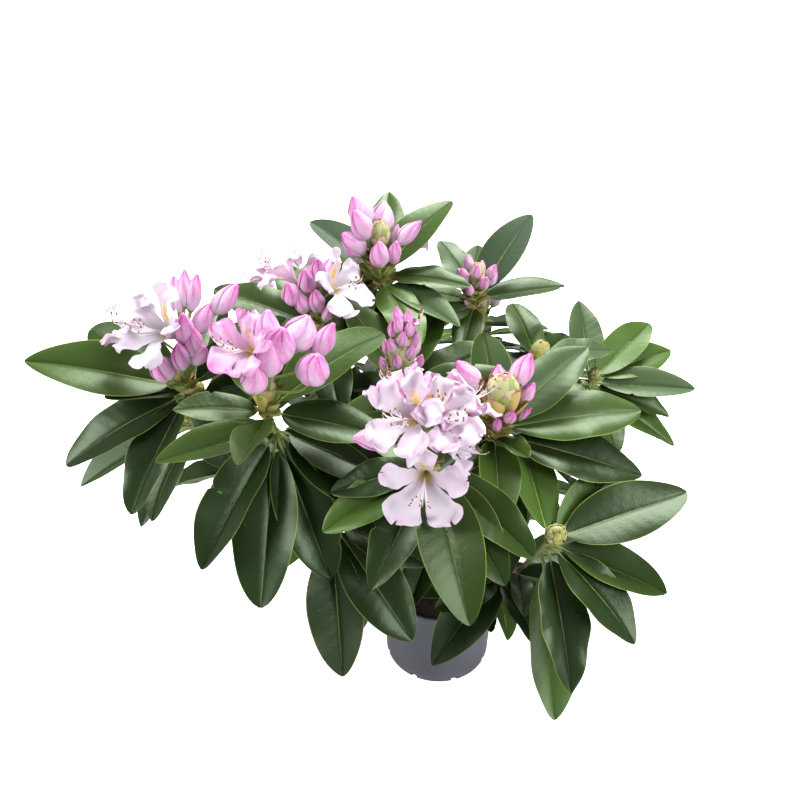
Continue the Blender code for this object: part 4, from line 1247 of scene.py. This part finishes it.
def build_scales(values):
    """The scaly resting buds, and the cones and bracts inside the trusses."""
    joined = Joined("bud_scales")
    dice = random.Random(5)
    for name, spray in SPRAYS.items():
        if name in TRUSSES:
            truss = TRUSSES[name]
            scaly_bud(joined, spray.tip + truss.axis * truss.core_foot, truss.axis, truss.core_radius,
                      truss.core_height, 0.40, ("scale_pale", "scale_cream", "scale_green"),
                      ("scale_rose", "scale_rose", "scale_tan"), dice)
            kinds = BRACT_KINDS.get(name, ("scale_yellow", "scale_green", "scale_olive"))
            bracts(joined, spray.tip, truss.axis, values.bracts, values.bract_length * truss.bract, kinds,
                   dice)
            if truss.collar:
                height, radius, size = (value * MM for value in truss.collar)
                bracts(joined, spray.tip + truss.axis * height, truss.axis, 11, size, kinds, dice, radius,
                       least=36)
            bracts(joined, spray.tip - spray.axis * 17 * MM, spray.axis, 6, 14 * MM,
                   ("scale_gold", "scale_tan"), dice)
        else:
            scaly_bud(joined, spray.tip - spray.axis * 1 * MM, spray.axis, spray.cone_radius * 0.92,
                      spray.cone_height * 0.86, 0.30, ("scale_green", "scale_yellow", "scale_pale"),
                      ("scale_tan", "scale_olive", "scale_gold"), dice)
            bracts(joined, spray.tip, spray.axis, 5, 9 * MM, ("scale_tan", "scale_brown", "scale_olive"),
                   dice)
    return joined.made()


PETALS = 5
BUD_ROWS = 15
# Faces across each petal of a flower bud
BUD_STRIPS = 7
# The calyx under a flower bud: heights and radii in millimetres
CALYX = ((-1.6, 1.8), (0, 3.2), (2.0, 4.0), (3.0, 3.6))


def flower_bud(joined, root, direction, reach, length, girth, pinkness, dice):
    """A fat pointed bud of overlapping twisted petals, on its stalk with a calyx."""
    radius = length * dice.uniform(0.27, 0.31) * girth
    tip = root[1] + direction * reach
    foot = tip - direction * length
    stalk = curve(root[0], root[0].lerp(root[1], 0.7), foot - direction * reach * 0.25, foot, 7)
    joined.add(*rod(stalk, [1.5 * MM] * 7 + [2.1 * MM], 7), "calyx")
    joined.add(*swept([(height * MM, wide * MM) for height, wide in CALYX], foot, direction, 10,
                      lambda angle, share: 1 + 0.16 * share * cos(PETALS * angle)), "calyx")
    steps = PETALS * BUD_STRIPS
    twist = dice.choice((-1, 1)) * radians(dice.uniform(50, 85))
    turn, crumple = dice.uniform(0, 2 * pi), dice.uniform(2, 4)
    u, v = across(direction)
    rings = []
    for i in range(BUD_ROWS + 1):
        z = i / BUD_ROWS
        wide = radius * sin(pi * max(0.03, min(0.98, z ** 0.80))) ** 0.66 + 0.2 * MM
        ring = []
        for k in range(steps):
            share = (k % BUD_STRIPS) / (BUD_STRIPS - 1)
            angle = 2 * pi * (k // BUD_STRIPS + share * 1.02) / PETALS + twist * z + turn
            swell = 1 + 0.15 * (share - 0.5) + 0.07 * sin(pi * share) + 0.035 * sin(crumple * angle + 9 * z)
            ring.append(foot + direction * length * z + (u * cos(angle) + v * sin(angle)) * (wide * swell))
        rings.append(ring)
    points, faces = loft(rings)
    kinds = []
    for i in range(BUD_ROWS):
        z = (i + 0.5) / BUD_ROWS
        for k in range(steps):
            share = (k % BUD_STRIPS + 0.5) / BUD_STRIPS
            # Deeper towards one edge of each petal and the tip, paler at the foot
            depth = pinkness * (0.20 + 0.40 * z) + (0.12 + 0.54 * pinkness) * share ** 2.2 * (0.5 + 0.5 * z)
            depth += 0.16 * max(0.0, z - 0.75) / 0.25 - 0.2 * max(0.0, 0.25 - z) / 0.25
            depth += 0.10 * sin(k * 2 * pi / steps + turn) + 0.06 * sin(crumple * k + 11 * z)
            kinds.append(petal_tint(depth + dice.uniform(-0.03, 0.03)))
    joined.add(points, faces, kinds + [petal_tint(0.3), petal_tint(pinkness)])


# Half the width of a petal lobe at shares of the flower radius, as shares of that radius
LOBE_AT = (0.0, 0.34, 0.48, 0.64, 0.76, 0.86, 0.93, 0.975, 1.0)
LOBE_HALF = (0.03, 0.20, 0.240, 0.325, 0.385, 0.390, 0.330, 0.225, 0.06)
# How broad each lobe is, from the upper one round, and how much it outreaches the flower radius
LOBE_BREADTH = (0.84, 0.98, 1.08, 1.08, 0.98)
LOBE_LONGER = (0, 0, 0.12, 0.12, 0)
PETAL_ROWS = 22
PETAL_COLUMNS = 15
STAMENS = 10


def petal_kind(share, over, loose, phase, inner, blotched, pinkness, dice):
    """The finish of one face: share is its place from foot to tip, over from side to side."""
    rim = max(abs(over) ** 3, share ** 6) * loose
    pink = pinkness * (0.55 + 0.16 * sin(5 * share + 2 * over + phase)) + (0.10 + 0.50 * pinkness) * rim
    pink += 0.06 * loose * (1 + sin(7 * share + phase)) * exp(-(over / 0.25) ** 2)
    if not inner:
        pink += 0.04 + 0.22 * pinkness + 0.14 * exp(-(over / 0.2) ** 2)
    flare = 0.0
    if inner and blotched:
        flare = (1.3 - pinkness) * exp(-((share - 0.45) / 0.17) ** 2 - (over / 0.55) ** 2)
    if dice.random() < flare:
        return "blotch" if flare > dice.uniform(0.4, 1.0) else "blotch_pale"
    return "throat" if inner and share < 0.16 else petal_tint(pink)


def stamen_lines(foot, mouth, direction, upper, left, depth, spread, dice):
    """The stamens and the longer style of one flower, as thin bending lines."""
    lines = []
    for k in range(STAMENS + 1):
        style = k == STAMENS
        turn = 2 * pi * k / STAMENS + dice.uniform(-0.2, 0.2)
        wide = dice.uniform(5, 12) * MM * spread
        far = (dice.uniform(8, 20) + (8 if style else 0)) * MM
        aside = left * cos(turn) * wide + upper * sin(turn) * wide * 0.6
        end = mouth + direction * far + aside - upper * 7 * MM
        line = curve(foot + direction * depth * 0.3, mouth - direction * depth * 0.2 - upper * 3 * MM,
                     end - direction * 6 * MM - upper * 7 * MM, end, 8)
        lines.append((line, [0.42 * MM] * len(line)))
    return lines


def corolla(joined, root, mouth, direction, size, pinkness, openness, dice):
    """An open flower on its stalk: ruffled lobes on a funnel, the upper one blotched. Gives its stamens."""
    radius, depth = FLOWER_RADIUS * size, FLOWER_DEPTH * size
    foot = mouth - direction * depth
    stalk = curve(root, root.lerp(foot, 0.3), foot - direction * 0.3 * (foot - root).length, foot, 5)
    joined.add(*rod(stalk, [1.4 * MM] * 5 + [2 * MM], 7), "calyx")
    upper = UP - direction * UP.dot(direction)
    if upper.length < 0.2:
        upper = across(direction)[1]
    upper.normalize()
    left = direction.cross(upper)
    s = 1 - (1 - np.linspace(0, 1, PETAL_ROWS)[:, None]) ** 1.5
    v = np.linspace(-1, 1, PETAL_COLUMNS)[None, :]

    def profile(o):
        """How far out and how high a petal runs, from 0 for shut to 1 for wide open."""
        knots = [(2.2 * MM, -depth), (0.19 * radius, -0.55 * depth),
                 (radius * (0.2 + 0.38 * o), depth * 0.25 * (1 - o)),
                 (radius * (0.3 + 0.7 * o), depth * 0.75 * (1 - o) - 0.06 * radius * o)]
        weights = ((1 - s) ** 3, 3 * s * (1 - s) ** 2, 3 * s * s * (1 - s), s ** 3)
        return [sum(w * knot[k] for w, knot in zip(weights, knots)) for k in (0, 1)]

    # A lobe keeps the width it has when wide open, and comes free of its neighbours past the throat
    natural = profile(1.0)[0] / radius
    out, high = profile(openness)
    half = radius * np.interp(natural, LOBE_AT, LOBE_HALF)
    slope = np.gradient(high[:, 0]) + 1j * np.gradient(out[:, 0])
    slope = (slope / np.abs(slope))[:, None]
    free = np.clip((natural - 0.28) / 0.42, 0, 1)
    for k in range(PETALS):
        # Ruffles grow towards the edge and the rim, and the upper lobe is hooded
        phase, turns = dice.uniform(0, 2 * pi), dice.uniform(1.0, 2.0)
        edge = np.abs(v) ** 1.4 * free
        ruffle = 5.0 * MM * size * edge * np.sin(2 * pi * turns * s + phase + 1.4 * np.sign(v))
        ruffle = ruffle + 2.2 * MM * edge * np.sin(2 * pi * 3.6 * s + 2 * phase + 2 * np.sign(v))
        ruffle = ruffle + 1.8 * MM * free * np.sin(9 * s + 5 * v + phase)
        ruffle = ruffle + 0.22 * MM * free * np.cos(5 * pi * v)
        hood = 0.12 * radius if k == 0 else 0.05 * radius if k in (1, 4) else 0.0
        lift = (hood + dice.uniform(-5, 4) * MM * size) * free ** 2
        cup = dice.uniform(-0.05, 0.16)
        # Pushed off the petal's own surface: ruffles, lift, cupped sides and a groove down the middle
        push = ruffle + lift - cup * half * v ** 2 * free
        push = push - 1.0 * MM * np.exp(-(v / 0.16) ** 2) * free
        across_lobe = v * np.minimum(half * (1 + (LOBE_BREADTH[k] - 1) * free) / out, 0.80)
        angle = radians(360 * k / PETALS) + radians(dice.uniform(-5, 5)) * free + across_lobe
        longer = (dice.uniform(-0.06, 0.05) + LOBE_LONGER[k]) * radius * free
        # A fine frill at the rim, notched at its middle
        frill = 1.3 * MM * np.sin(13 * v + phase) * s ** 8 - 2.0 * MM * np.exp(-(v / 0.3) ** 2) * s ** 10
        reach_out = out + longer + frill - push * slope.real * 0.8
        up_high = high + push * slope.imag
        radial = np.cos(angle)[..., None] * np.array(upper) + np.sin(angle)[..., None] * np.array(left)
        front = np.array(mouth) + radial * reach_out[..., None] + np.array(direction) * up_high[..., None]
        inward = -radial * slope.real[..., None] + np.array(direction) * slope.imag[..., None]
        back = front - inward * 0.45 * MM
        points, faces, places = shell(front, back)
        joined.add(points, faces, [
            petal_kind(float(s[i, 0]), (j + 0.5) / (PETAL_COLUMNS - 1) * 2 - 1, float(free[i, 0]), phase,
                       inner, k == 0, pinkness, dice) for i, j, inner in places])
    return stamen_lines(foot, mouth, direction, upper, left, depth, size * openness, dice)


def build_blossom(values):
    """Open flowers, their stamens, and the flower buds."""
    flowers, buds, threads = Joined("flowers"), Joined("flower_buds"), []
    dice = random.Random(17)
    for name, truss in TRUSSES.items():
        tip = SPRAYS[name].tip
        for height, bearing, rise, reach, size, pinkness, openness in truss.flowers:
            direction = toward(bearing, rise)
            threads += corolla(flowers, tip + truss.axis * max(height, 6) * MM,
                               tip + truss.axis * height * MM + direction * reach * MM, direction,
                               size * values.flower_size, pinkness, openness, dice)
        for height, bearing, rise, reach, girth, outset in truss.buds:
            start = tip + truss.axis * height * MM
            flower_bud(buds, (start, start + toward(bearing, 0) * outset * MM), toward(bearing, rise),
                       reach * MM, min(BUD_LENGTH, reach * MM * truss.bud_share), girth, truss.pinkness, dice)
    stamens = grown(line_piece("stamens", threads), stamen_tree(),
                    {"Anther": 0.85 * MM, "Thread": plain_finish("filament"), "Tip": plain_finish("anther")})
    return flowers.made(), buds.made(), stamens


# Settings
class PotSettings(bpy.types.PropertyGroup):
    """Sizes and colours of the pot."""
    steps: IntProperty(name="Steps", description="Faces round the pot", default=320, min=24)
    wall: FloatProperty(name="Wall", description="Thickness of the wall", default=POT_WALL, unit="LENGTH")
    lip_width: FloatProperty(name="Lip width", description="How far the lip stands out", default=LIP_WIDTH,
                             unit="LENGTH")
    lip_depth: FloatProperty(name="Lip depth", description="Height of the lip", default=LIP_DEPTH,
                             unit="LENGTH")
    notches: IntProperty(name="Notches", description="Drain notches round the foot", default=8, min=1)
    notch_width: FloatProperty(name="Notch width", description="Width of a drain notch", default=7 * MM,
                               unit="LENGTH")
    colour: FloatVectorProperty(name="Colour", description="Plastic where it is clean", subtype="COLOR",
                                default=(0.054, 0.057, 0.078))
    dark: FloatVectorProperty(name="Dark colour", description="Plastic where it is damp", subtype="COLOR",
                              default=(0.038, 0.040, 0.056))


class CompostSettings(bpy.types.PropertyGroup):
    """The compost in the pot."""
    crumbs: FloatProperty(name="Crumbs", description="Crumbs on each square metre", default=60000)
    colour: FloatVectorProperty(name="Colour", description="Dry crumbs", subtype="COLOR",
                                default=(0.026, 0.017, 0.012))
    dark: FloatVectorProperty(name="Dark colour", description="Moist crumbs", subtype="COLOR",
                              default=(0.005, 0.0035, 0.003))


class LimbSettings(bpy.types.PropertyGroup):
    """Bark of the trunk, boughs and shoots."""
    relief: FloatProperty(name="Relief", description="Depth of the bark", default=1.6 * MM, unit="LENGTH")
    colour: FloatVectorProperty(name="Bark", description="Dry bark", subtype="COLOR",
                                default=(0.25, 0.19, 0.125))
    dark: FloatVectorProperty(name="Dark bark", description="Bark in its cracks", subtype="COLOR",
                              default=(0.065, 0.045, 0.028))
    shoot: FloatVectorProperty(name="Shoot", description="Green shoots", subtype="COLOR",
                               default=(0.24, 0.30, 0.09))
    shoot_dark: FloatVectorProperty(name="Dark shoot", description="Older shoots", subtype="COLOR",
                                    default=(0.13, 0.13, 0.05))


class LeafSettings(bpy.types.PropertyGroup):
    """Shape of the leaves."""
    pieces: IntProperty(name="Pieces", description="Meshes that the leaves are joined into", default=4, min=1)
    thickness: FloatProperty(name="Thickness", description="Thickness of a blade", default=0.45 * MM,
                             unit="LENGTH")
    vein_relief: FloatProperty(name="Vein relief", description="Height of the side veins", default=0.5 * MM,
                               unit="LENGTH")
    fold_least: FloatProperty(name="Least fold", description="Least rise of a half blade, in degrees",
                              default=13)
    fold_most: FloatProperty(name="Most fold", description="Most rise of a half blade, in degrees",
                             default=34)


class BlossomSettings(bpy.types.PropertyGroup):
    """Size of the blossom."""
    flower_size: FloatProperty(name="Flower size", description="Size of the open flowers", default=1.0)
    bracts: IntProperty(name="Bracts", description="Loose scales under each truss", default=15)
    bract_length: FloatProperty(name="Bract length", description="Length of a loose scale", default=19 * MM,
                                unit="LENGTH")


class StageSettings(bpy.types.PropertyGroup):
    """Floor, light and camera."""
    sky: FloatProperty(name="Sky", description="Strength of the light from all round", default=0.27)
    lamp: FloatProperty(name="Lamp", description="Power of the soft lamp overhead, in watts", default=122)
    left_lamp: FloatProperty(name="Left lamp", description="Power of the soft lamp at the left, in watts",
                             default=54)
    right_lamp: FloatProperty(name="Right lamp", description="Power of the soft lamp at the right, in watts",
                              default=56)
    glow: FloatProperty(name="Glow", description="How much whiter the floor looks than it is lit",
                        default=0.8)
    camera_at: FloatVectorProperty(name="Camera place", description="Where the camera stands", unit="LENGTH",
                                   default=(-0.052, -0.763, 0.900))
    camera_down: FloatProperty(name="Camera down", description="Degrees the camera looks down", default=33)


# The soft lamps: name, place, size and the setting of the power, all turned to the middle of the plant
LAMPS = (("overhead", (0.3, 1.0, 2.2), 1.4, "lamp"), ("left_side", (-1.9, -0.6, 1.7), 1.2, "left_lamp"),
         ("right_side", (1.7, -1.3, 1.7), 1.2, "right_lamp"))
PLANT_MIDDLE = Vector((0, 0, 0.3))


def white_to_the_eye(tree, lit, seen):
    """One strength as the light falls on the plant, and another as the backdrop is looked at."""
    way = new_node(tree, "ShaderNodeLightPath")
    blend = new_node(tree, "ShaderNodeMapRange", {"To Min": lit, "To Max": seen})
    wire(tree, (way, "Is Camera Ray", blend, "Value"))
    return blend


# Operators
class PLANT_OT_pot(bpy.types.Operator):
    """Turn the pot with its lip and drain notches."""
    bl_idname = "plant.pot"
    bl_label = "Pot"

    def execute(self, context):
        settle(build_pot(context.scene.plant_pot), ["pot"])
        return {"FINISHED"}


class PLANT_OT_compost(bpy.types.Operator):
    """Fill the pot with crumbly compost."""
    bl_idname = "plant.compost"
    bl_label = "Compost"

    def execute(self, context):
        settle(build_compost(context.scene.plant_compost), ["compost"])
        return {"FINISHED"}


class PLANT_OT_limbs(bpy.types.Operator):
    """Grow the trunk and boughs with bark in relief, and the green shoots."""
    bl_idname = "plant.limbs"
    bl_label = "Trunk, boughs and shoots"

    def execute(self, context):
        values = context.scene.plant_limbs
        settle(build_limbs(values), ["trunk"] + [f"bough_{name}" for name in SPRAYS])
        settle(build_shoots(values), [f"spray_{name}" for name in SPRAYS])
        return {"FINISHED"}


class PLANT_OT_leaves(bpy.types.Operator):
    """Grow every leaf of every spray."""
    bl_idname = "plant.leaves"
    bl_label = "Leaves"

    def execute(self, context):
        for piece, names in build_leaves(context.scene.plant_leaves):
            settle(piece, [f"spray_{name}" for name in names])
        return {"FINISHED"}


class PLANT_OT_scales(bpy.types.Operator):
    """Cover the resting buds and the foot of each truss with scales."""
    bl_idname = "plant.scales"
    bl_label = "Bud scales"

    def execute(self, context):
        settle(build_scales(context.scene.plant_blossom), [f"spray_{name}" for name in SPRAYS])
        return {"FINISHED"}


class PLANT_OT_blossom(bpy.types.Operator):
    """Open the flowers and set the flower buds round them."""
    bl_idname = "plant.blossom"
    bl_label = "Blossom"

    def execute(self, context):
        for piece in build_blossom(context.scene.plant_blossom):
            settle(piece, [f"spray_{name}" for name in TRUSSES])
        return {"FINISHED"}


class PLANT_OT_stage(bpy.types.Operator):
    """Lay the floor and set the light and the camera."""
    bl_idname = "plant.stage"
    bl_label = "Stage"

    def execute(self, context):
        values = context.scene.plant_stage
        scene = context.scene
        bpy.ops.mesh.primitive_plane_add(size=40)
        floor = context.object
        floor.name = "floor"
        paper, tree, shader = new_material("paper_white", (0.93, 0.93, 0.93), 0.9)
        shader.inputs["Emission Color"].default_value = (1, 1, 1, 1)
        wire(tree, (white_to_the_eye(tree, 0.0, values.glow), "Result", shader, "Emission Strength"))
        floor.data.materials.append(paper)
        world = bpy.data.worlds.new("soft_daylight")
        world.use_nodes = True
        sky = world.node_tree.nodes["Background"]
        sky.inputs["Color"].default_value = (1, 1, 1, 1)
        tree = world.node_tree
        wire(tree, (white_to_the_eye(tree, values.sky, 1.0), "Result", sky, "Strength"))
        scene.world = world
        for name, place, size, setting in LAMPS:
            lamp = bpy.data.lights.new(name, "AREA")
            lamp.energy, lamp.size = getattr(values, setting), size
            lamp_object = bpy.data.objects.new(name, lamp)
            lamp_object.location = place
            aim = PLANT_MIDDLE - lamp_object.location
            lamp_object.rotation_euler = aim.to_track_quat("-Z", "Y").to_euler()
            scene.collection.objects.link(lamp_object)
        eye = bpy.data.cameras.new("eye")
        eye.lens = eye.sensor_width = 36
        eye_object = bpy.data.objects.new("eye", eye)
        eye_object.location = values.camera_at
        eye_object.rotation_euler = (radians(90 - values.camera_down), 0, 0)
        scene.collection.objects.link(eye_object)
        scene.camera = eye_object
        scene.view_settings.view_transform = "Standard"
        return {"FINISHED"}


SETTINGS = {"plant_pot": PotSettings, "plant_compost": CompostSettings, "plant_limbs": LimbSettings,
            "plant_leaves": LeafSettings, "plant_blossom": BlossomSettings, "plant_stage": StageSettings}
OPERATORS = (PLANT_OT_stage, PLANT_OT_pot, PLANT_OT_compost, PLANT_OT_limbs, PLANT_OT_leaves, PLANT_OT_scales,
             PLANT_OT_blossom)


class PLANT_PT_sidebar(bpy.types.Panel):
    """The steps of the plant in their order."""
    bl_label = "Rhododendron"
    bl_space_type = "VIEW_3D"
    bl_region_type = "UI"
    bl_category = "Rhododendron"

    def draw(self, context):
        for kind in OPERATORS:
            self.layout.operator(kind.bl_idname)


def register():
    for kind in (*SETTINGS.values(), *OPERATORS, PLANT_PT_sidebar):
        bpy.utils.register_class(kind)
    for name, kind in SETTINGS.items():
        setattr(bpy.types.Scene, name, PointerProperty(type=kind))


def unregister():
    for name in SETTINGS:
        delattr(bpy.types.Scene, name)
    for kind in reversed((*SETTINGS.values(), *OPERATORS, PLANT_PT_sidebar)):
        bpy.utils.unregister_class(kind)


def main():
    register()
    for step in (bpy.ops.plant.stage, bpy.ops.plant.pot, bpy.ops.plant.compost, bpy.ops.plant.limbs,
                 bpy.ops.plant.leaves, bpy.ops.plant.scales, bpy.ops.plant.blossom):
        step()


if __name__ == "__main__":
    main()
